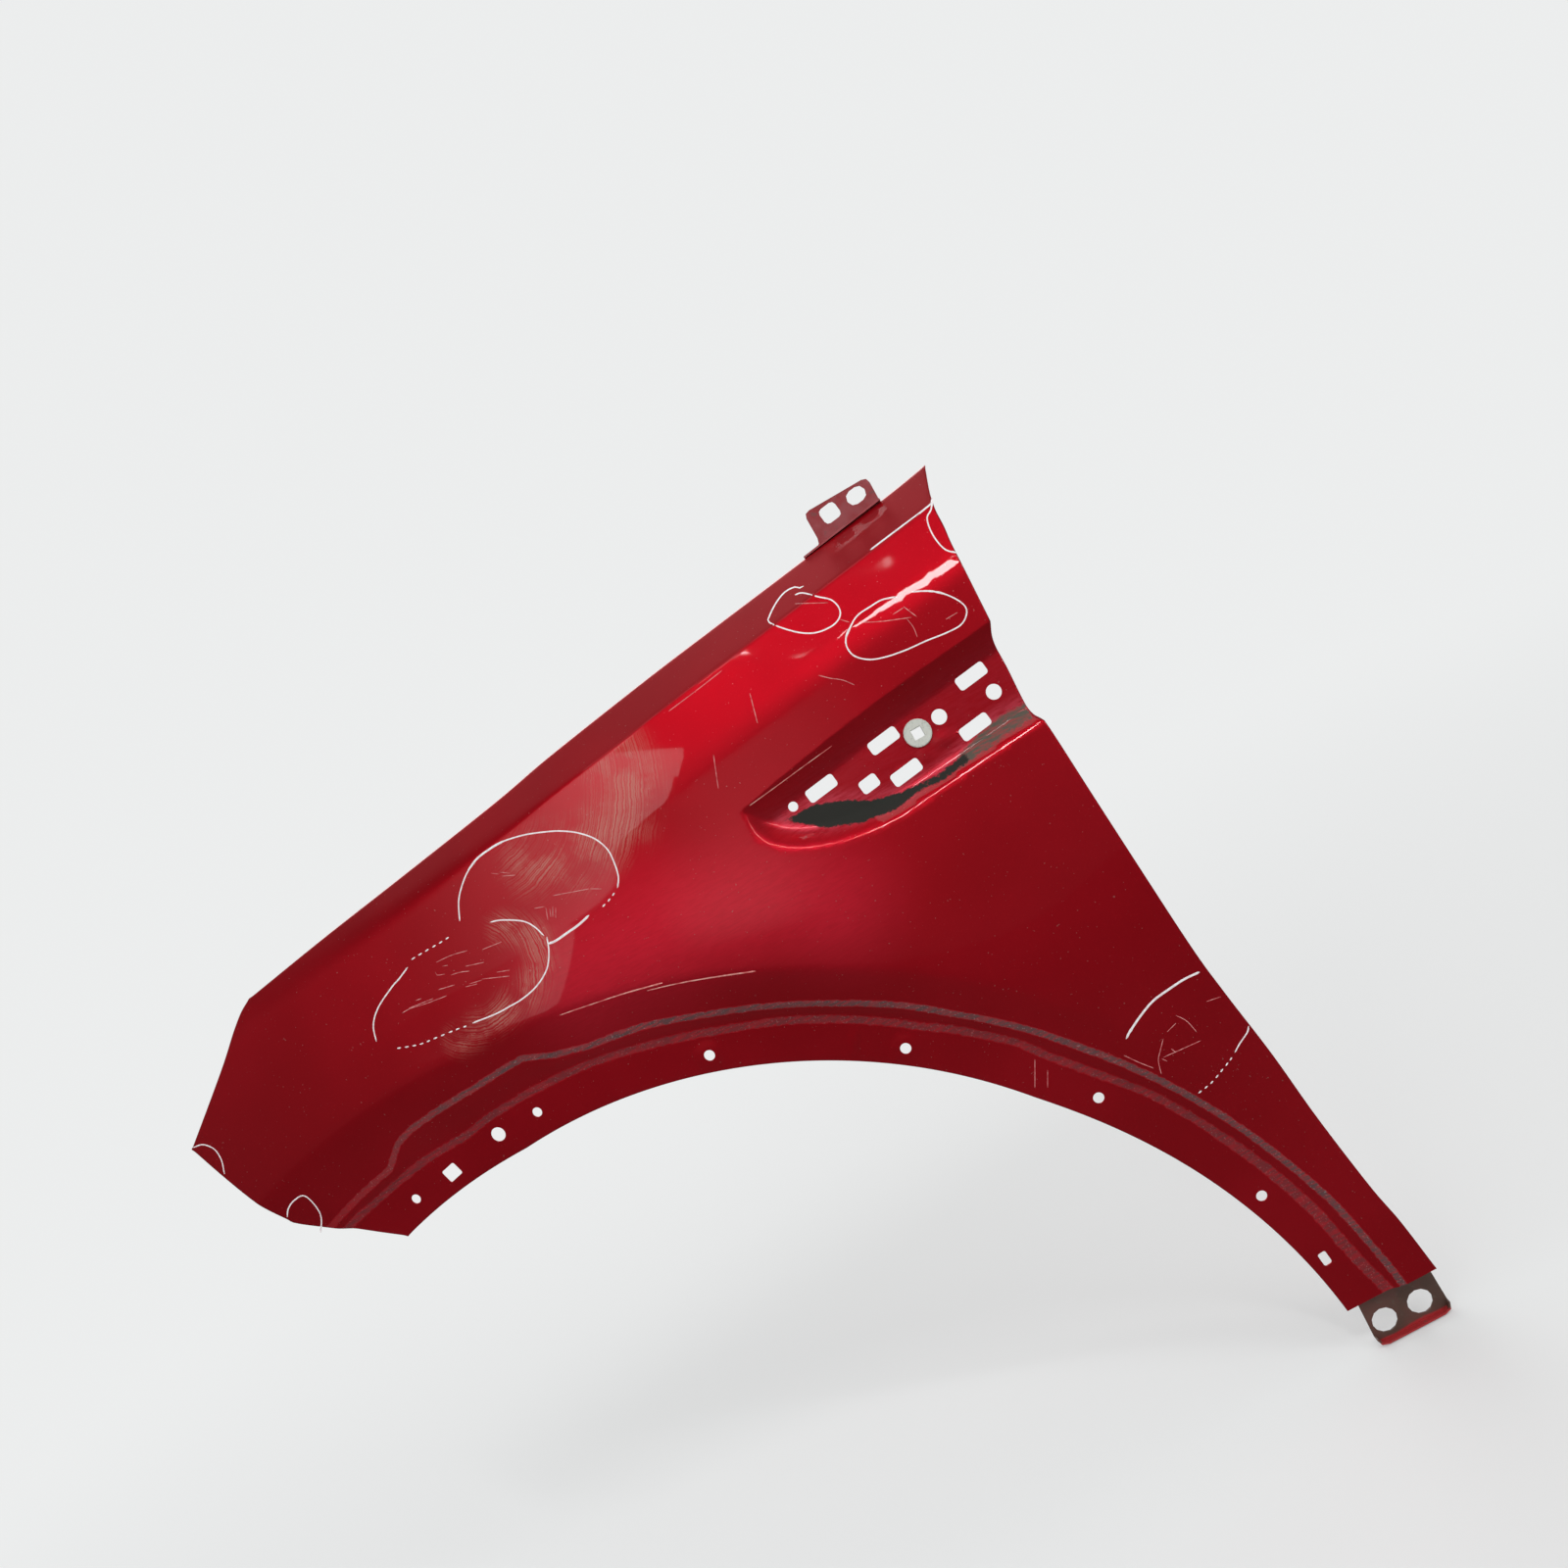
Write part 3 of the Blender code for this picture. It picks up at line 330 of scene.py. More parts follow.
# The holes: round and square clip holes in the trim seat, then slots, locators and the nut's hole in the
# recess. A slot is given by its length, width, corner radius and tilt.
TRIM_HOLE, FRONT_TRIM_HOLE, GAUGE_HOLE = 0.0085, 0.0078, 0.0117
SQUARE_CLIP, REAR_CLIP = (0.0136, 0.0112, 0.0016, 14.4), (0.0113, 0.0066, 0.0016, -84.1)
LONG_SLOT, SHORT_SLOT = (0.0250, 0.0105, 0.0026, 7.0), (0.0150, 0.0105, 0.0026, 7.0)
LOCATOR_HOLE, NOSE_HOLE, NUT_HOLE = 0.0118, 0.0075, 0.0152
holes = [disc(flange_point(*place), TRIM_HOLE) for place in (*RAISED_HOLES, (34.0, 0.494), (14.9, 0.415))]
holes += [disc(flange_point(*place), FRONT_TRIM_HOLE) for place in ((109.5, 0.506), (92.7, 0.585))]
holes += [disc(flange_point(97.6, 0.612), GAUGE_HOLE),
          rounded_slot(flange_point(104.4, 0.456), *SQUARE_CLIP),
          rounded_slot(flange_point(5.9, 0.36), *REAR_CLIP)]
holes += [rounded_slot(recess_point(*place), *LONG_SLOT)
          for place in ((0.889, 0.324), (0.528, 0.345), (0.816, 0.723), (0.542, 0.708), (0.267, 0.398))]
holes += [rounded_slot(recess_point(0.415, 0.606), *SHORT_SLOT),
          disc(recess_point(0.928, 0.557), LOCATOR_HOLE), disc(recess_point(0.729, 0.4625), LOCATOR_HOLE),
          disc(recess_point(0.154, 0.430), NOSE_HOLE), disc(recess_point(0.640, 0.4715), NUT_HOLE)]

POINTS_PER_DEGREE, SILL_POINTS = 0.02432 / EDGE_PITCH, 24


def arch_row(out, first, last):
    angles = np.linspace(first, last, round(abs(last - first) * POINTS_PER_DEGREE))
    return arch_point(angles, out(angles) if callable(out) else out)


door = panel_curve(((0.634, 0.000), (0.626, 0.064), (0.617, 0.116), (0.605, 0.211), (0.597, 0.295),
                    (0.5865, 0.378), (0.580, 0.444), (0.572, 0.597), (0.568, 0.688), (0.5665, 0.7125)),
                   EDGE_PITCH)
notch = panel_curve(((0.5665, 0.7125), (0.5605, 0.729), (0.5625, 0.776), (0.5635, 0.808),
                     (0.569, 0.8275)), EDGE_PITCH / 2)
shoulder_edge = panel_curve(((0.569, 0.8275), (0.5735, 0.905), (0.577, 0.9335), (0.5807, 0.963),
                             (0.597, 1.000)), EDGE_PITCH)
lamp = panel_curve(((-0.234, 0.865), (-0.2465, 0.857), (-0.261, 0.843), (-0.283, 0.8205),
                    (-0.318, 0.7895), (-0.366, 0.7486)), EDGE_PITCH)
bumper = panel_curve(((-0.366, 0.7486), (-0.3465, 0.7064), (-0.324, 0.659), (-0.3085, 0.6316)), EDGE_PITCH)
lower = curve([*np.array(((-0.3085, 0.6316), (-0.2985, 0.618), (-0.241, 0.5725))) * (LENGTH, HEIGHT),
               arch_point(FRONT_TIP_ANGLE, 0.0)], EDGE_PITCH)
arch = arch_row(0.0, FRONT_TIP_ANGLE, 0.0)
sill = np.linspace(arch[-1], door[0], SILL_POINTS)

# Each stretch of the edge, with how deep it is turned in. A turned edge runs out toward its two ends.
DOOR_TURN, FLANGE_WIDTH, FRONT_TURN, ARCH_TURN = 0.0120, 0.0190, 0.0070, 0.0090
BEND, TURN_FADE, BEND_FADE = 0.0016, 0.014, 0.004
stretches = [(np.vstack([door, notch[1:], shoulder_edge[1:]]), DOOR_TURN), (hood, FLANGE_WIDTH),
             (lamp, FRONT_TURN), (np.vstack([bumper, lower[1:]]), FRONT_TURN), (arch, ARCH_TURN), (sill, 0.0)]
outline, depths, rounds = [], [], []
for points, depth in stretches:
    runs = np.concatenate([[0.0], np.cumsum(np.linalg.norm(np.diff(points, axis=0), axis=1))])
    clear = np.minimum(runs, runs[-1] - runs)
    outline.append(points[:-1])
    depths.append((depth * smooth(clear / TURN_FADE))[:-1])
    rounds.append((min(BEND, depth) * smooth(clear / BEND_FADE))[:-1])
hood_first = len(outline[0])
hood_count = len(outline[1])
outline, depths, rounds = np.vstack(outline), np.concatenate(depths), np.concatenate(rounds)
along_edge = np.roll(outline, -1, axis=0) - np.roll(outline, 1, axis=0)
along_edge /= np.linalg.norm(along_edge, axis=1)[:, None]
edge_normals = np.stack([along_edge[:, 1], -along_edge[:, 0]], axis=-1)
inset = outline - edge_normals * rounds[:, None]

# Rows of points that the triangles follow: the step, the fold, the ledge, the shoulder and the recess.
ROWS_FIRST, ROWS_LAST = -2.0, 124.0
rows = [arch_row(lambda angle: STEP_FOOT + share * (step_head(angle) - STEP_FOOT), ROWS_FIRST, ROWS_LAST)
        for share in (-0.08, 0.0, 0.12, 0.25, 0.5, 0.75, 0.88, 1.0, 1.08)]
rows += [arch_row(lambda angle: fold_line(angle) + shift, FLARE_FIRST, ROWS_LAST)
         for shift in (-0.012, -0.006, -0.002, 0.002, 0.006, 0.012)]
crease_line = np.stack([hood[:, 0], crease_height(hood[:, 0])], axis=-1)
rows += [crease_line + (0.0, shift) for shift in (-0.0024, -0.0009, 0.0, 0.0009, 0.0024)]
rows += [crease_line[hood[:, 0] > 0] - (0.0, SHOULDER_DROP + shift)
         for shift in (-0.012, -0.006, 0, 0.006, 0.012)]
RECESS_ROW_LENGTH, WALL_ROW_START = 0.25, 0.285
recess_x = np.linspace(RECESS_TIP, RECESS_END + RECESS_OVERRUN, round(RECESS_ROW_LENGTH / EDGE_PITCH))
recess_line = np.stack([recess_x, recess_crease(recess_x)], axis=-1)
rows += [recess_line + (0.0, shift) for shift in (0.0018, 0.0008, 0.0, -0.0010, -0.0024)]
rows += [recess_line[recess_x > WALL_ROW_START] - (0.0, shift) for shift in (0.0190, 0.0215, 0.0240)]
rows.append(rim)
ROW_SPACING, ROW_CLEARANCE = 0.866, 0.62


def inside(loop, points):
    """Which points lie inside a closed loop."""
    within = np.zeros(len(points), dtype=bool)
    for start, stop in zip(loop, np.roll(loop, -1, axis=0)):
        crosses = (start[1] > points[:, 1]) != (stop[1] > points[:, 1])
        if crosses.any():
            reach = start[0] + (stop[0] - start[0]) * (points[:, 1] - start[1]) / (stop[1] - start[1] + 1e-12)
            within ^= crosses & (points[:, 0] < reach)
    return within


def cut_sheet(edge, openings, lines, pitch):
    """Cuts a flat blank into triangles: its points, its faces, and the point at each edge vertex."""
    edge = np.asarray(edge)
    points, edges = [], []
    for loop in [edge, *openings]:
        first = len(points)
        points += [Vector(point) for point in loop]
        edges += [(first + at, first + (at + 1) % len(loop)) for at in range(len(loop))]
    for line in lines:
        kept = inside(edge, line)
        first = len(points)
        points += [Vector(point) for point in line]
        edges += [(first + at, first + at + 1) for at in range(len(line) - 1) if kept[at] or kept[at + 1]]
    near = KDTree(len(points))
    for at, point in enumerate(points):
        near.insert((point.x, point.y, 0.0), at)
    near.balance()
    low, high = edge.min(axis=0), edge.max(axis=0)
    for up in range(int((high[1] - low[1]) / pitch / ROW_SPACING) + 1):
        xs = np.arange(low[0] + up % 2 * pitch / 2, high[0], pitch)
        spots = np.stack([xs, np.full(len(xs), low[1] + up * pitch * ROW_SPACING)], axis=-1)
        for spot in spots[inside(edge, spots)]:
            if near.find((spot[0], spot[1], 0.0))[2] > ROW_CLEARANCE * pitch:
                points.append(Vector(spot))
    flat, _, faces, came_from, _, _ = delaunay_2d_cdt(points, edges, [], 0, 1e-7)
    flat = np.array([tuple(point) for point in flat])
    faces = np.array([face for face in faces if len(face) == 3])
    middles = flat[faces].mean(axis=1)
    kept = inside(edge, middles)
    for loop in openings:
        kept &= ~inside(loop, middles)
    faces = faces[kept]
    corners = flat[faces]
    one, two = corners[:, 1] - corners[:, 0], corners[:, 2] - corners[:, 0]
    turned = one[:, 0] * two[:, 1] - one[:, 1] * two[:, 0] < 0
    faces[turned] = faces[turned][:, ::-1]
    used = np.unique(faces)
    places = np.full(len(flat), -1)
    places[used] = np.arange(len(used))
    rank = {source: places[at] for at, sources in enumerate(came_from) for source in sources}
    return flat[used], places[faces], [rank[at] for at in range(len(edge))]


# Rings of points round each bend, then one at the turned edge. The bonnet's stretch stops at its bend.
FLANGE_LEAN, LEAST_BEND, LEAST_TURN = 0.175, 0.00001, 1.3
BEND_STEPS = 5
flat, faces, ring = cut_sheet(inset, holes, rows, PITCH)
points = skin(flat)
faces = [tuple(face) for face in faces]
flats = list(flat)
corner_points = skin(outline)
inward = np.tile((0.0, 1.0, 0.0), (len(outline), 1))
inward[hood_first:hood_first + hood_count] = (0.0, 1.0, -FLANGE_LEAN)
inward /= np.linalg.norm(inward, axis=1)[:, None]
turned_points = list(points)
last_ring = list(ring)
for step in range(1, BEND_STEPS + 2):
    share = min(1.0, step / BEND_STEPS)
    next_ring = []
    for at, start in enumerate(ring):
        if rounds[at] < LEAST_BEND:
            next_ring.append(start)
            continue
        if step > BEND_STEPS and hood_first <= at < hood_first + hood_count:
            next_ring.append(last_ring[at])
            continue
        corner = corner_points[at]
        end = corner + inward[at] * rounds[at]
        if step <= BEND_STEPS:
            place = points[start] * (1 - share) ** 2 + corner * 2 * share * (1 - share) + end * share ** 2
        else:
            place = corner + inward[at] * max(depths[at], rounds[at] * LEAST_TURN)
        next_ring.append(len(turned_points))
        turned_points.append(place)
        flats.append(outline[at])
    for at in range(len(ring)):
        after = (at + 1) % len(ring)
        loop = [last_ring[at], next_ring[at], next_ring[after], last_ring[after]]
        unique = [corner for spot, corner in enumerate(loop) if corner not in loop[:spot]]
        if len(unique) > 2:
            faces.append(tuple(unique))
    last_ring = next_ring

# The flange under the bonnet's edge, with three slots, grown on from the last ring of the bend.
FLANGE_END_GAP, FLANGE_END_WIDTH, FLANGE_FADE, FADE_OVERRUN = 0.022, 0.0030, 0.012, 0.004
FLANGE_SLOT, SLOT_LINE, FLANGE_PITCH = (0.0150, 0.0090, 0.0040, 0.0), 0.0105, 0.0045
flange_run = np.arange(hood_first, hood_first + hood_count)
hood_x = outline[flange_run, 0]
clear = np.minimum(hood_x.max() - hood_x, hood_x - hood_x.min())
flange_run = flange_run[clear > FLANGE_END_GAP]
hood_x = outline[flange_run, 0]
lower_line = np.stack([hood_x, rounds[flange_run]], axis=-1)
clear = np.minimum(hood_x.max() + FADE_OVERRUN - hood_x, hood_x - hood_x.min() + FADE_OVERRUN)
widths = FLANGE_WIDTH * smooth(clear / FLANGE_FADE)
upper_line = np.stack([hood_x, np.maximum(widths, FLANGE_END_WIDTH)], axis=-1)[::-1]
slot_x = [hood_x.min() + share * (hood_x.max() - hood_x.min()) for share in (0.10, 0.47, 0.80)]
flange_holes = [rounded_slot((x, SLOT_LINE), *FLANGE_SLOT) for x in slot_x]
flange_flat, flange_faces, flange_ring = cut_sheet(np.vstack([lower_line, upper_line]), flange_holes, [],
                                                   FLANGE_PITCH)
edge_z = height_on(hood, flange_flat[:, 0])
flange_points = np.stack([flange_flat[:, 0], form(flange_flat[:, 0], edge_z) + flange_flat[:, 1],
                          edge_z - FLANGE_LEAN * flange_flat[:, 1]], axis=-1)
shared = {corner: last_ring[at] for corner, at in zip(flange_ring, flange_run)}
index_of = {}
for corner, place in enumerate(flange_points):
    if corner in shared:
        index_of[corner] = shared[corner]
    else:
        index_of[corner] = len(turned_points)
        turned_points.append(place)
        flats.append((place[0], edge_z[corner]))
for face in flange_faces:
    first, second, third = (index_of[corner] for corner in face)
    faces.append((first, second, third))

panel_mesh = bpy.data.meshes.new("fender_skin")
panel_mesh.from_pydata([tuple(place) for place in np.array(turned_points) + WHEEL_CENTRE], [], faces)
panel_mesh.update()
panel = bpy.data.objects.new("fender_skin", panel_mesh)
bpy.context.collection.objects.link(panel)

PHOTO_SIZE = 1600.0
SIGHT_STEPS, SIGHT_DAMPING = 40, 0.7


def eye_hits(pixels):
    """Where the lines of sight through spots of the photo meet the skin, in the side plane."""
    u, v = (np.array(pixels, dtype=float).T - PHOTO_SIZE / 2) / PHOTO_SIZE * (SENSOR_WIDTH / CAMERA_LENS)
    sight = np.outer(u, camera_right) - np.outer(v, camera_up) - np.array(camera_back)
    spots = np.array(camera_eye - WHEEL_CENTRE) + sight * CAMERA_DISTANCE
    for _ in range(SIGHT_STEPS):
        miss = form(spots[:, 0], spots[:, 2]) - spots[:, 1]
        spots += sight * (SIGHT_DAMPING * miss / sight[:, 1])[:, None]
    return spots[:, [0, 2]]


# Wear that follows the sheet is stored on its points as distances in millimetres: two rubbed bands where
# the arch trim sat, a dark glue patch and a dust strip along the lower lip of the recess, and the hazy
# patches that a polishing pad left, with the two spots that the pad turned about. A bright patch in the
# middle of the panel is stored the same way: it is a painted glow that stands in for a lamp's light.
BAND_ONE = ((336, 1254), (398, 1193), (406, 1167), (420, 1152), (455, 1128), (500, 1100), (533, 1080),
            (564, 1077), (600, 1068), (657, 1047), (724, 1035), (772, 1028), (852, 1024), (921, 1026),
            (969, 1034), (1061, 1054), (1130, 1079), (1198, 1110), (1260, 1147), (1306, 1181),
            (1356, 1223), (1397, 1268), (1429, 1307))
BAND_TWO = ((359, 1249), (392, 1219), (434, 1184), (476, 1159), (500, 1139), (600, 1086), (669, 1065),
            (738, 1051), (807, 1041), (852, 1040), (944, 1048), (969, 1050), (1038, 1064), (1070, 1078),
            (1120, 1096), (1175, 1117), (1244, 1158), (1290, 1191), (1340, 1234), (1368, 1266),
            (1389, 1289), (1416, 1316))
GLUE = ((800, 837), (832, 821), (864, 816), (889, 817), (914, 810), (931, 803), (958, 790), (985, 768),
        (990, 776), (962, 797), (940, 806), (924, 818), (910, 828), (878, 840), (843, 845), (827, 842))
DUST = ((975, 774), (1000, 748), (1020, 731), (1046, 716), (1053, 733), (1030, 748), (1000, 770),
        (978, 785))
UPPER_HAZE = ((610, 750), (645, 790), (632, 840), (590, 872), (545, 880))
LOWER_HAZE = ((515, 948), (545, 955), (555, 985), (538, 1015), (505, 1040), (470, 1062))
UPPER_TURN, LOWER_TURN = (480, 800), (478, 995)
# A painted glow, not polish: the line along which a brighter red is painted as a stand-in for a lamp's light.
GLOW_LINE = ((595, 1005), (700, 940), (790, 915), (850, 925))
LEDGE_GAP = 0.002
flats = np.array(flats)
point_angle, point_out = arch_place(flats[:, 0], flats[:, 1])


def band_distance(pixels):
    spots = eye_hits(pixels)
    angle, out = arch_place(spots[:, 0], spots[:, 1])
    order = np.argsort(angle)
    return (point_out - np.interp(point_angle, angle[order], out[order])) * 1000


def patch_distance(pixels):
    """Distance to a drawn patch in millimetres, below zero inside it."""
    loop = eye_hits(pixels)
    away = distance_to(np.vstack([loop, loop[:1]]), flats[:, 0], flats[:, 1]) * 1000
    return np.where(inside(loop, flats), -away, away)


def smudge(pixels, reach):
    """Fades from 1 on a drawn line to 0 at a reach in millimetres from it, below the bonnet ledge."""
    away = distance_to(eye_hits(pixels), flats[:, 0], flats[:, 1]) * 1000
    return np.where(flats[:, 1] < crease_height(flats[:, 0]) - LEDGE_GAP, smooth(1.0 - away / reach), 0.0)


def turn_about(pixel):
    return np.linalg.norm(flats - eye_hits([pixel]), axis=1) * 1000


wear_and_glow = {"band_one": band_distance(BAND_ONE), "band_two": band_distance(BAND_TWO), "arch_angle": point_angle,
        "glue": patch_distance(GLUE), "dust": patch_distance(DUST),
        "upper_haze": smudge(UPPER_HAZE, reach=38.0), "lower_haze": smudge(LOWER_HAZE, reach=20.0),
        "painted_glow": smudge(GLOW_LINE, reach=78.0), "upper_turn": turn_about(UPPER_TURN),
        "lower_turn": turn_about(LOWER_TURN), "sunk": recess_depth(flats[:, 0], flats[:, 1]) / RECESS_DEPTH}
for name, values in wear_and_glow.items():
    field = panel_mesh.attributes.new(name, "FLOAT", "POINT")
    field.data.foreach_set("value", np.asarray(values, dtype=np.float32))


class Signal:
    """A socket of a node tree. Arithmetic on it adds Math nodes."""

    def __init__(self, tree, socket):
        self.tree, self.socket = tree, socket

    def math(self, operation, other=0.0):
        return self.tree.node("ShaderNodeMath", {"operation": operation}, {0: self, 1: other})

    def __add__(self, other):
        return self.math("ADD", other)

    def __sub__(self, other):
        return self.math("SUBTRACT", other)

    def __rsub__(self, other):
        return (self * -1.0).math("ADD", other)

    def __mul__(self, other):
        return self.math("MULTIPLY", other)

    def __abs__(self):
        return self.math("ABSOLUTE")

    __radd__ = __add__
    __rmul__ = __mul__

    def over(self, low, high, start=0.0, stop=1.0):
        """Eases from start to stop as the signal goes from low to high, or down if high is the lower one."""
        if high < low:
            low, high, start, stop = high, low, stop, start
        return self.tree.node("ShaderNodeMapRange", {"interpolation_type": "SMOOTHSTEP"},
                              {"Value": self, "From Min": low, "From Max": high, "To Min": start,
                               "To Max": stop})


class Tree:
    """The nodes of a material, of a lamp or of the surround."""

    def __init__(self, owner):
        owner.use_nodes = True
        self.nodes, self.links = owner.node_tree.nodes, owner.node_tree.links

    def put(self, socket, value):
        if isinstance(value, Signal):
            self.links.new(value.socket, socket)
        elif isinstance(value, tuple) and len(value) == 3 and socket.type == "RGBA":
            socket.default_value = (*value, 1.0)
        else:
            socket.default_value = value

    def node(self, kind, settings, values, output=0):
        made = self.nodes.new(kind)
        for name, value in settings.items():
            setattr(made, name, value)
        for name, value in values.items():
            self.put(made.inputs[name], value)
        return Signal(self, made.outputs[output])

    def ray(self, kind):
        """1 where the ray that arrives is of a kind, and 0 elsewhere."""
        return self.node("ShaderNodeLightPath", {}, {}, f"Is {kind} Ray")


class Finish(Tree):
    """A Principled material and the nodes that vary it."""

    def __init__(self, name, **settings):
        self.material = bpy.data.materials.new(name)
        super().__init__(self.material)
        self.shader = self.nodes["Principled BSDF"]
        self.set(**settings)

    def set(self, **values):
        for name, value in values.items():
            self.put(self.shader.inputs[name.replace("_", " ")], value)

    def place(self):
        return self.node("ShaderNodeTexCoord", {}, {}, "Object")

    def field(self, name):
        return self.node("ShaderNodeAttribute", {"attribute_name": name}, {}, "Fac")

    def noise(self, scale, detail=3.0, roughness=0.55, stretch=None, turn=0.0):
        vector = self.place()
        if stretch:
            vector = self.node("ShaderNodeMapping", {}, {"Vector": vector, "Rotation": (0.0, turn, 0.0),
                                                         "Scale": stretch})
        return self.node("ShaderNodeTexNoise", {}, {"Vector": vector, "Scale": scale, "Detail": detail,
                                                    "Roughness": roughness}, "Fac")

    def mix(self, factor, one, other):
        made = self.nodes.new("ShaderNodeMix")
        made.data_type = "RGBA"
        for socket, value in ((made.inputs[0], factor), (made.inputs[6], one), (made.inputs[7], other)):
            self.put(socket, value)
        return Signal(self, made.outputs[2])

    def bump(self, height, strength, distance):
        self.set(Normal=self.node("ShaderNodeBump", {}, {"Height": height, "Strength": strength,
                                                         "Distance": distance}))


# The outer paint: clear coat over a cloudy metallic red, and over that all the wear, a painted glow in the
# middle of the panel and a painted pinkish sheen on the recess floor. The inner side has a duller, dirtier
# coat.
DEEP_RED, CLEAR_RED, FLECK_RED = (0.59, 0.0042, 0.0145), (0.67, 0.0058, 0.0185), (0.90, 0.02, 0.035)
# The first colour on the next line is a painted glow, a brighter red that stands in for a lamp's light.
GLOW_RED, SCUFF, MOTE = (0.98, 0.024, 0.056), (0.50, 0.12, 0.12), (0.72, 0.32, 0.30)
# The second colour on the next line is a painted pinkish sheen for the floor of the recess.
HAZE, RECESS_SHEEN_PINK = (0.62, 0.30, 0.24), (0.90, 0.080, 0.125)
BAND_ONE_DARK, BAND_ONE_SPECK = (0.110, 0.054, 0.057), (0.36, 0.28, 0.27)
BAND_TWO_DARK, BAND_TWO_SPECK = (0.085, 0.034, 0.038), (0.28, 0.21, 0.20)
DUST_GREY, GLUE_BLACK = (0.11, 0.10, 0.08), (0.032, 0.033, 0.029)
INNER_DARK, INNER_RED, INNER_DIRT = (0.24, 0.018, 0.018), (0.34, 0.022, 0.024), (0.12, 0.085, 0.07)
paint = Finish("candy_red_paint", Coat_Roughness=0.03, Coat_IOR=1.38, Specular_IOR_Level=0.05)
cloud = paint.noise(7.0, 2.0)
fleck = paint.noise(900.0, 2.0)
ragged = paint.noise(260.0, 4.0, 0.7)
streak = paint.noise(90.0, 4.0, 0.6, (1.0, 1.0, 7.0), 0.6)
one = paint.field("band_one")
two = paint.field("band_two")
angle = paint.field("arch_angle")
rubbed_one = (abs(one) + (ragged - 0.5) * 3.5).over(3.4, 2.0) * (0.45 + 0.55 * angle.over(120.0, 95.0))
rubbed_two = (abs(two) - angle.over(30.0, 10.0) * 1.2 + (ragged - 0.5) * 5.0).over(4.0, 2.2) * 0.8
grain = 0.70 + 0.30 * streak.over(0.38, 0.58)
glue = (paint.field("glue") + (ragged - 0.5) * 5.0).over(0.7, -0.7)
dust = (paint.field("dust") + (ragged - 0.5) * 7.0).over(1.5, -1.5) * (0.55 + 0.45 * streak.over(0.3, 0.6))
beside = paint.field("glue").math("MINIMUM", paint.field("dust")).over(12.0, 2.0)
# A painted sheen: the recess floor is painted a brighter pink, most beside the glue and dust, for the light
# it mirrors.
recess_sheen = paint.field("sunk").over(0.15, 0.9) * (0.25 + 0.75 * streak.over(0.30, 0.62))
recess_sheen = recess_sheen * (0.15 + 0.85 * beside)
scuffed = paint.noise(420.0, 3.0, 0.6, (1.0, 1.0, 14.0), -0.5).over(0.66, 0.74)
scuffed = scuffed * cloud.over(0.45, 0.60)
# A painted glow: brighter red painted in the middle of the panel where a lamp's light would fall.
painted_glow = paint.field("painted_glow") * (0.80 + 0.20 * streak.over(0.34, 0.62))
motes = paint.noise(520.0, 1.0).over(0.74, 0.79)
specks = paint.noise(750.0, 2.0).over(0.60, 0.70) * 0.5
smear = paint.noise(38.0, 5.0, 0.62)


def haze_arcs(side):
    """Fine arcs that a polishing pad left round the spot that it turned about."""
    lines = paint.node("ShaderNodeTexNoise", {"noise_dimensions": "1D"},
                       {"W": paint.field(side + "_turn") + smear * 9.0, "Scale": 0.75, "Detail": 5.0}, "Fac")
    arcs = paint.field(side + "_haze") * (0.12 + 0.88 * lines.over(0.40, 0.60))
    return arcs * (0.15 + 0.85 * smear.over(0.36, 0.60))


swirl = haze_arcs("upper") + haze_arcs("lower")
colour = paint.mix(cloud.over(0.35, 0.65), DEEP_RED, CLEAR_RED)
for share, other in ((fleck.over(0.55, 0.80) * 0.30, FLECK_RED), (painted_glow * 0.9, GLOW_RED),
                     (scuffed * 0.35, SCUFF), (motes * 0.5, MOTE), (swirl * 0.74, HAZE),
                     (recess_sheen * 0.9, RECESS_SHEEN_PINK),
                     (rubbed_one * grain, paint.mix(specks, BAND_ONE_DARK, BAND_ONE_SPECK)),
                     (rubbed_two * grain, paint.mix(specks, BAND_TWO_DARK, BAND_TWO_SPECK)),
                     (dust, DUST_GREY), (glue, GLUE_BLACK)):
    colour = paint.mix(share, colour, other)
rubbed = (rubbed_one + rubbed_two).math("MINIMUM", 1.0)
covered = glue.math("MAXIMUM", dust).math("MAXIMUM", swirl * 0.55).math("MAXIMUM", rubbed * 0.9)
paint.set(Base_Color=colour, Metallic=(1.0 - covered) * 0.86, Coat_Weight=1.0 - covered,
          Roughness=0.48 + covered * 0.22 + (fleck - 0.5) * 0.10)
paint.bump(fleck + ragged * covered, 0.10, 0.0002)

inner = Finish("inner_red_paint", Metallic=0.2, Coat_Weight=0.15)
inner_dirt = inner.noise(60.0, 5.0, 0.65)
inner_red = inner.mix(inner.noise(9.0, 4.0).over(0.3, 0.7), INNER_DARK, INNER_RED)
inner.set(Base_Color=inner.mix(inner_dirt.over(0.52, 0.72) * 0.45, inner_red, INNER_DIRT),
          Roughness=0.42 + inner_dirt * 0.25)
inner.bump(inner.noise(500.0, 2.0), 0.15, 0.0002)
SMOOTH_BELOW = 40.0
panel_mesh.materials.append(paint.material)
panel_mesh.materials.append(inner.material)
panel_mesh.shade_smooth()
bpy.context.view_layer.objects.active = panel
panel.select_set(True)
wall = panel.modifiers.new("Sheet", "SOLIDIFY")
wall.thickness = SHEET
wall.offset = -1
wall.material_offset = 1
bpy.ops.object.modifier_apply(modifier="Sheet")
bpy.ops.object.shade_smooth_by_angle(angle=math.radians(SMOOTH_BELOW))
panel.select_set(False)
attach(panel, "root")
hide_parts("fender_panel")
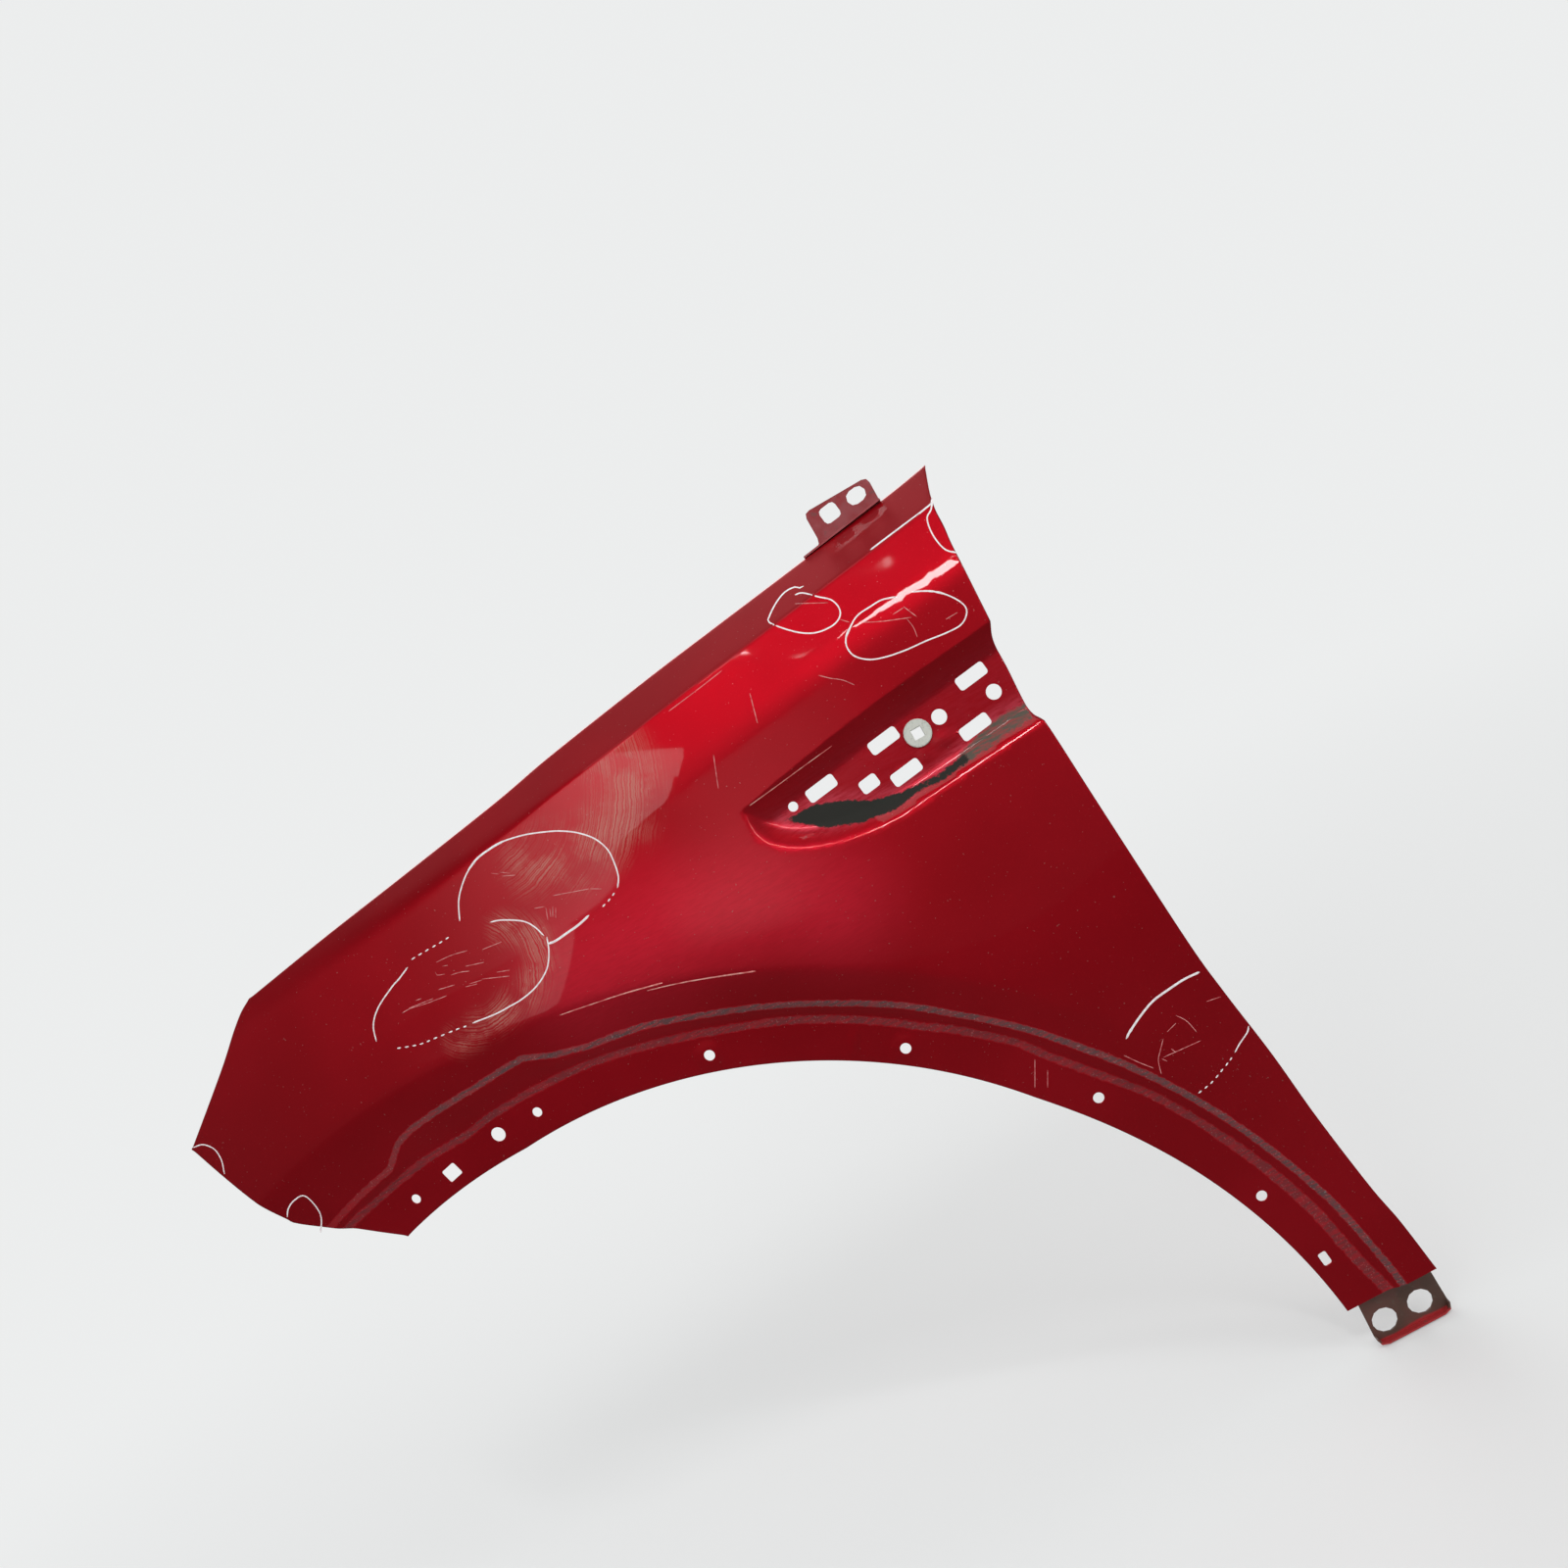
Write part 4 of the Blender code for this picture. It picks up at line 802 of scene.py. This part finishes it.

# Marks on the skin. A white paint pen ringed the dents and scuffs, and fine pale scratches cross the rings.
# Thin bright lines along the flare's fold, the recess crease and the crease under the bonnet ledge are
# painted highlights of those sharp bends. Each pen mark and scratch is a low ridge of dried paint or bared
# primer, each highlight a like ridge, all drawn where the line of sight meets the skin.
PEN_WIDTH, BROAD_PEN_WIDTH, SCRATCH_WIDTH, HIGHLIGHT_WIDTH = 0.0016, 0.0025, 0.0008, 0.0011
RIDGE_HEIGHT, RIDGE_FOOT, RIDGE_TAPER, SLOPE_STEP = 0.00012, 0.00006, 0.4, 0.0004
STROKE_PITCH, SCRATCH_PITCH, DASH_PITCH, DASH_POINTS, DASH_GAP = 3.0, 2.5, 1.3, 4, 2
PEN_RINGS_AND_LEDGE_GLINT = (
    ((811, 607), (819, 605), (835, 609), (848, 612), (856, 620), (857, 629), (850, 638), (835, 645),
     (820, 646), (802, 642), (785, 635), (785, 629), (792, 615), (801, 604), (811, 599), (816, 600),
     (820, 598)),
    ((930, 604), (945, 603), (960, 605), (975, 611), (985, 619), (986, 628), (980, 638), (965, 646),
     (945, 654), (925, 663), (905, 670), (888, 673), (873, 670), (865, 662), (863, 652), (868, 639),
     (875, 628), (888, 619), (900, 612), (915, 609)),
    ((951, 508), (950, 520), (946, 528), (949, 540), (956, 552), (965, 561), (976, 564)),
    ((469, 940), (468, 920), (471, 905), (477, 890), (487, 876), (500, 866), (515, 858), (535, 852),
     (555, 849), (572, 848), (590, 850), (607, 856), (620, 867), (627, 881), (631, 895), (630, 906)),
    ((558, 956), (560, 970), (559, 985), (554, 997), (545, 1009), (532, 1020), (520, 1027), (505, 1035),
     (482, 1044)),
    ((416, 987), (407, 999), (400, 1007), (386, 1028), (381, 1046), (384, 1063)),
    ((500, 941), (510, 939), (525, 939), (537, 941), (547, 947), (555, 955)),
    ((197, 1171), (206, 1168), (214, 1170), (220, 1174), (226, 1184), (229, 1198)),
    ((293, 1242), (294, 1234), (299, 1226), (309, 1220), (318, 1226), (326, 1237), (328, 1246),
     (327, 1258)),
    # A painted highlight, not a pen stroke: a white line along the crease under the bonnet ledge, where it
    # catches light.
    ((888, 561), (900, 552), (920, 537), (940, 522), (951, 513)),
    ((1274, 1047), (1273, 1053), (1265, 1065), (1260, 1074)))
BROAD_PEN_ARCS = (
    ((601, 934), (590, 944), (580, 951), (567, 960), (559, 963)),
    ((1149, 1060), (1154, 1051), (1165, 1035), (1177, 1021), (1192, 1010), (1207, 1000), (1217, 995),
     (1224, 992)))
DASHED_PEN_LINES = (
    ((627, 911), (621, 919), (613, 927)), ((476, 1047), (467, 1050), (445, 1059), (427, 1066), (404, 1070)),
    ((420, 979), (435, 970), (449, 962), (460, 955)),
    ((1257, 1079), (1255, 1082), (1247, 1092), (1236, 1105), (1221, 1117)))
SCRATCHES = (
    ((501, 891), (509, 892)), ((510, 890), (520, 891)), ((512, 894), (526, 893)),
    ((564, 914), (585, 910), (601, 907)), ((602, 907), (614, 907)), ((557, 926), (559, 939)),
    ((561, 927), (562, 936)), ((564, 925), (564, 936)), ((567, 926), (567, 937)), ((545, 927), (556, 925)),
    ((445, 982), (460, 975), (477, 970)), ((492, 969), (512, 961)), ((444, 992), (446, 995), (454, 994)),
    ((451, 986), (457, 985)), ((460, 995), (470, 992), (479, 991)), ((475, 986), (494, 982)),
    ((479, 1004), (492, 1000)), ((475, 1007), (487, 1004)), ((492, 999), (520, 996)),
    ((507, 992), (520, 990)), ((447, 1010), (464, 1005)),
    ((410, 1034), (419, 1029), (435, 1024), (456, 1016)), ((417, 1029), (442, 1019)),
    ((424, 1021), (430, 1019)), ((880, 635), (900, 634), (930, 630)),
    ((911, 627), (922, 620)), ((922, 619), (935, 629)), ((925, 631), (932, 640), (936, 650)),
    ((965, 632), (977, 625)), ((811, 616), (845, 615)), ((857, 632), (867, 635)),
    ((835, 689), (847, 692), (860, 694), (872, 699)), ((1200, 1044), (1191, 1053)),
    ((1187, 1060), (1184, 1072), (1182, 1082), (1185, 1096)), ((1185, 1080), (1191, 1083)),
    ((1187, 1079), (1205, 1071), (1225, 1062)), ((1195, 1070), (1200, 1074)),
    ((1200, 1036), (1211, 1042), (1221, 1053)), ((1231, 1022), (1246, 1017)),
    ((1147, 1077), (1162, 1084), (1177, 1090)), ((728, 770), (733, 805)), ((765, 707), (773, 738)),
    ((682, 726), (710, 705), (737, 684)), ((1056, 1081), (1056, 1110)), ((1069, 1092), (1069, 1110)))
# Painted highlights: bright lines along the flare's fold and the recess's upper crease, where the bends catch
# light.
HIGHLIGHT_LINES = (
    ((571, 1036), (600, 1026), (640, 1013), (676, 1003)), ((660, 1011), (690, 1004), (730, 997), (771, 991)),
    ((765, 822), (790, 804), (820, 782), (849, 761)))


def dashes(points):
    runs = []
    while len(points) > 1:
        runs.append(points[:DASH_POINTS])
        points = points[DASH_POINTS + DASH_GAP:]
    return [run for run in runs if len(run) > 1]


def ridge(name, lines, width, finish):
    """Closed ridges of triangular section along lines of sight points, their feet just under the skin."""
    corners, sides = [], []
    for line in lines:
        flat = eye_hits(line)
        way = np.gradient(flat, axis=0)
        way /= np.linalg.norm(way, axis=1)[:, None]
        across = np.stack([-way[:, 1], way[:, 0]], axis=-1) * width / 2
        taper = np.ones(len(flat))
        taper[[0, -1]] = RIDGE_TAPER
        rise_x = form(flat[:, 0] + SLOPE_STEP, flat[:, 1]) - form(flat[:, 0] - SLOPE_STEP, flat[:, 1])
        rise_z = form(flat[:, 0], flat[:, 1] + SLOPE_STEP) - form(flat[:, 0], flat[:, 1] - SLOPE_STEP)
        out = np.stack([rise_x / (2 * SLOPE_STEP), -np.ones(len(flat)), rise_z / (2 * SLOPE_STEP)], axis=-1)
        out /= np.linalg.norm(out, axis=1)[:, None]
        first = len(corners)
        rings = (skin(flat + across * taper[:, None]) - out * RIDGE_FOOT, skin(flat) + out * RIDGE_HEIGHT,
                 skin(flat - across * taper[:, None]) - out * RIDGE_FOOT)
        for spot in zip(*rings):
            corners += [Vector(corner) + WHEEL_CENTRE for corner in spot]
        for at in range(first, len(corners) - 3, 3):
            for turn in range(3):
                after = (turn + 1) % 3
                sides.append((at + turn, at + after, at + 3 + after, at + 3 + turn))
        sides += [(first + 2, first + 1, first), (len(corners) - 3, len(corners) - 2, len(corners) - 1)]
    mesh = bpy.data.meshes.new(name)
    mesh.from_pydata(corners, [], sides)
    mesh.materials.append(finish.material)
    made = bpy.data.objects.new(name, mesh)
    bpy.context.collection.objects.link(made)
    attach(made, "root")


# The white pen finish also serves the painted highlight along the crease under the bonnet ledge.
pen_and_glint = Finish("white_pen_and_ledge_glint", Metallic=0.0)
pen_and_glint.set(Base_Color=pen_and_glint.mix(pen_and_glint.noise(300.0, 3.0).over(0.35, 0.75), (0.93, 0.90, 0.91), (0.80, 0.66, 0.69)),
        Roughness=0.45 + pen_and_glint.noise(500.0) * 0.2)
bare = Finish("bared_primer", Metallic=0.0)
bare.set(Base_Color=bare.mix(bare.noise(260.0, 3.0).over(0.35, 0.70), (0.72, 0.30, 0.29), (0.55, 0.09, 0.10)),
         Roughness=0.50 + bare.noise(500.0) * 0.2)
# A painted highlight: the bright pinkish finish of the lines along the sharp bends.
highlight_finish = Finish("painted_fold_highlight", Metallic=0.3, Roughness=0.35)
highlight_finish.set(Base_Color=highlight_finish.mix(highlight_finish.noise(150.0, 3.0).over(0.35, 0.65), (0.95, 0.48, 0.42), (0.80, 0.16, 0.16)))
# The pen rings include one painted highlight, the white line along the crease under the bonnet ledge.
ridge("pen_rings_and_ledge_glint", [curve(line, STROKE_PITCH) for line in PEN_RINGS_AND_LEDGE_GLINT], PEN_WIDTH, pen_and_glint)
ridge("broad_pen_arcs", [curve(line, STROKE_PITCH) for line in BROAD_PEN_ARCS], BROAD_PEN_WIDTH, pen_and_glint)
ridge("dashed_pen_lines", [run for line in DASHED_PEN_LINES for run in dashes(curve(line, DASH_PITCH))],
      PEN_WIDTH, pen_and_glint)
ridge("scratches", [curve(line, SCRATCH_PITCH) for line in SCRATCHES], SCRATCH_WIDTH, bare)
# The bright lines along the fold and the recess crease are painted highlights.
ridge("painted_highlight_lines", [curve(line, STROKE_PITCH) for line in HIGHLIGHT_LINES], HIGHLIGHT_WIDTH, highlight_finish)

# The rear upper bracket. A tab of 1.5 mm sheet, folded and welded on the flange under the bonnet's edge,
# with thin pinkish overspray and grime where the paint gun hardly reached it.
THIN_DARK, THIN_PINK, THIN_GRIME = (0.36, 0.030, 0.037), (0.40, 0.085, 0.095), (0.16, 0.11, 0.10)


def dress(node, finish):
    """Gives a piece of the CAD model its finish."""
    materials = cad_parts[node].data.materials
    materials.clear()
    materials.append(finish.material)


thin = Finish("thin_overspray", Metallic=0.1, Coat_Weight=0.35)
thin_dirt = thin.noise(240.0, 4.0, 0.7)
thin_red = thin.mix(thin.noise(45.0, 4.0).over(0.35, 0.65), THIN_DARK, THIN_PINK)
thin.set(Base_Color=thin.mix(thin_dirt.over(0.55, 0.70) * 0.6, thin_red, THIN_GRIME),
         Roughness=0.35 + thin_dirt * 0.3)
thin.bump(thin_dirt, 0.2, 0.0003)
dress("rear_upper_bracket", thin)

# The rear lower bracket. A joggled plate of 1.5 mm sheet, spot-welded inside the foot of the fender, in
# dull brownish red paint, with a clearer red painted along its lower edge as a highlight where its turned lip
# catches the light.
DULL_BROWN, DULL_DARK, DULL_GRIME = (0.13, 0.052, 0.040), (0.095, 0.050, 0.036), (0.12, 0.10, 0.075)
# The first colour on the next line is a painted highlight, a clearer red for the lit lip along the lower
# edge.
LIT_EDGE_RED, LIT_EDGE_TOP, LIT_EDGE_FULL = (0.42, 0.022, 0.026), 0.0065, 0.0045
dull = Finish("dull_red_paint", Metallic=0.1, Coat_Weight=0.2)
dull_cloud = dull.noise(40.0, 4.0)
dull_dirt = dull.noise(220.0, 4.0, 0.7)
dull_red = dull.mix(dull_cloud.over(0.35, 0.65), DULL_BROWN, DULL_DARK)
height = dull.node("ShaderNodeSeparateXYZ", {}, {"Vector": dull.place()}, "Z")
# A painted highlight: the lowest few millimetres are painted a clearer red, for the light that the turned lip
# catches.
lit_edge = (height + dull_cloud * 0.004).over(cad_box[0].z + LIT_EDGE_TOP, cad_box[0].z + LIT_EDGE_FULL)
dull_red = dull.mix(lit_edge, dull_red, LIT_EDGE_RED)
dull.set(Base_Color=dull.mix(dull_dirt.over(0.56, 0.72) * 0.5, dull_red, DULL_GRIME),
         Roughness=0.42 + dull_dirt * 0.3)
dull.bump(dull_dirt, 0.2, 0.0003)
dress("rear_lower_bracket", dull)

# The garnish nut. Moulded off-white nylon: a round flange and a tapered shank with a square bore, pushed
# into its hole in the recess so that the flange lies on the floor.
NYLON_WHITE, NYLON_GRIME = (0.62, 0.64, 0.58), (0.33, 0.34, 0.29)
nylon = Finish("off_white_nylon", Metallic=0.0)
nylon_dirt = nylon.noise(420.0, 4.0, 0.7)
nylon.set(Base_Color=nylon.mix(nylon_dirt.over(0.50, 0.70) * 0.5, NYLON_WHITE, NYLON_GRIME),
          Roughness=0.42 + nylon_dirt * 0.2)
dress("vent_nut", nylon)

# The studio. A pale floor that fades into the pale surround, and lamps that stand where the paint mirrors
# them: a large window with its foot, a soft glow, a bright strip, two small lamps and a tall tube at the
# right. Two weak fills light the top and the far side.
SURROUND, FLOOR_GREY = (0.84, 0.85, 0.85), (0.80, 0.81, 0.81)
BLACK, WHITE = (0.0, 0.0, 0.0), (1.0, 1.0, 1.0)
FLOOR_MIDDLE, FLOOR_RADIUS, FLOOR_GAP = (-0.3, -0.1), 9.0, 0.001
bpy.ops.mesh.primitive_circle_add(vertices=96, radius=FLOOR_RADIUS, fill_type="NGON",
                                  location=(*FLOOR_MIDDLE, cad_box[0].z - FLOOR_GAP))
floor = bpy.context.object
floor.name = "studio_floor"
ground = Finish("pale_floor", Roughness=0.9, Specular_IOR_Level=0.1)
away = ground.node("ShaderNodeVectorMath", {"operation": "LENGTH"}, {0: ground.place()}, "Value")
seen, mirrored, passed = (ground.ray(kind) for kind in ("Camera", "Glossy", "Transmission"))
ground.set(Base_Color=ground.mix(mirrored * 0.85, FLOOR_GREY, BLACK))
shown = (seen + passed + mirrored * 0.09).math("MINIMUM", 1.0)
pale = ground.node("ShaderNodeEmission", {}, {"Color": SURROUND, "Strength": shown})
faded = away.over(0.5, 2.4) * 0.75 + (seen + passed + mirrored) * 0.25
matt = Signal(ground, ground.shader.outputs[0])
blend = ground.node("ShaderNodeMixShader", {}, {0: faded, 1: matt, 2: pale})
ground.put(ground.nodes["Material Output"].inputs["Surface"], blend)
floor.data.materials.append(ground.material)

# The surround gives even light. In reflections it is dim in front and overhead, and brighter at the back.
ROOM_LIGHT, DIM_FRONT, BRIGHT_BACK, DIM_OVERHEAD = 0.68, 0.115, 0.60, 0.45
world = bpy.data.worlds.new("studio_surround")
bpy.context.scene.world = world
sky = Tree(world)
toward = sky.node("ShaderNodeTexCoord", {}, {}, "Generated")
back, top = (sky.node("ShaderNodeSeparateXYZ", {}, {"Vector": toward}, axis) for axis in "YZ")
dimmed = back.over(0.45, 0.95, DIM_FRONT, BRIGHT_BACK) * top.over(0.50, 0.80, 1.0, DIM_OVERHEAD)
light = sky.node("ShaderNodeMix", {}, {"Factor": sky.ray("Glossy"), "A": ROOM_LIGHT, "B": dimmed}, "Result")
lit_room = sky.nodes["Background"]
sky.put(lit_room.inputs["Color"], WHITE)
sky.put(lit_room.inputs["Strength"], light)
pale_room = sky.node("ShaderNodeBackground", {}, {"Color": SURROUND})
in_view = sky.ray("Camera").math("MAXIMUM", sky.ray("Transmission"))
room = sky.node("ShaderNodeMixShader", {}, {0: in_view, 1: Signal(sky, lit_room.outputs[0]), 2: pale_room})
sky.put(sky.nodes["World Output"].inputs["Surface"], room)


def soft_lamp(name, place, width, height, radiance, facing=(0.0, 1.0, 0.0), turn=0.0, left=0.0, right=0.0,
              ends=0.0):
    """A rectangular lamp of the stated brightness. Each side can fade out by a power of the way across."""
    data = bpy.data.lights.new(name, "AREA")
    data.shape = "RECTANGLE"
    data.size, data.size_y = width, height
    data.energy = radiance * math.pi * width * height
    shade = Tree(data)
    across = shade.node("ShaderNodeNewGeometry", {}, {}, "Parametric")
    strength = 1.0
    for axis, near, far in (("X", left, right), ("Y", ends, ends)):
        way = shade.node("ShaderNodeSeparateXYZ", {}, {"Vector": across}, axis)
        strength = way.math("POWER", near) * strength
        strength = (1.0 - way).math("POWER", far) * strength
    shade.put(shade.nodes["Emission"].inputs["Strength"], strength)
    lamp = bpy.data.objects.new(name, data)
    bpy.context.collection.objects.link(lamp)
    lamp.location = Vector(place) + WHEEL_CENTRE
    lamp.rotation_euler = Vector(facing).to_track_quat("-Z", "Y").to_euler()
    if turn:
        lamp.rotation_euler.rotate_axis("Z", math.radians(turn))
    lamp.visible_camera = False


soft_lamp("window", (-1.45, -2.2, 2.55), width=2.4, height=2.1, radiance=2.3, left=3.0)
soft_lamp("window_foot", (-1.683, -2.2, 1.348), width=1.5, height=0.95, radiance=1.1, turn=-23.4, left=4.0)
soft_lamp("glow", (-0.03, -2.2, 1.18), width=0.8, height=0.6, radiance=7.0, left=1.0, right=1.0, ends=1.0)
soft_lamp("strip", (0.47, -2.2, 3.40), width=0.21, height=1.40, radiance=26.0, turn=17.0)
soft_lamp("small_lamp_one", (0.045, -2.2, 4.8), width=0.04, height=1.3, radiance=6.0)
soft_lamp("small_lamp_two", (0.325, -2.2, 5.30), width=0.025, height=0.12, radiance=7.0)
soft_lamp("right_tube", (1.95, -1.9, 2.2), width=0.12, height=3.2, radiance=16.0, facing=(-1.9, 1.8, -1.6),
          turn=25.0)
soft_lamp("top_fill", (0.0, 0.1, 3.3), width=1.2, height=0.7, radiance=1.2, facing=(0.0, -0.1, -3.3))
soft_lamp("back_fill", (-0.4, 2.5, 1.9), width=2.2, height=1.6, radiance=1.5, facing=(0.0, -1.0, -0.6))

scene = bpy.context.scene
scene.view_settings.view_transform = "Standard"
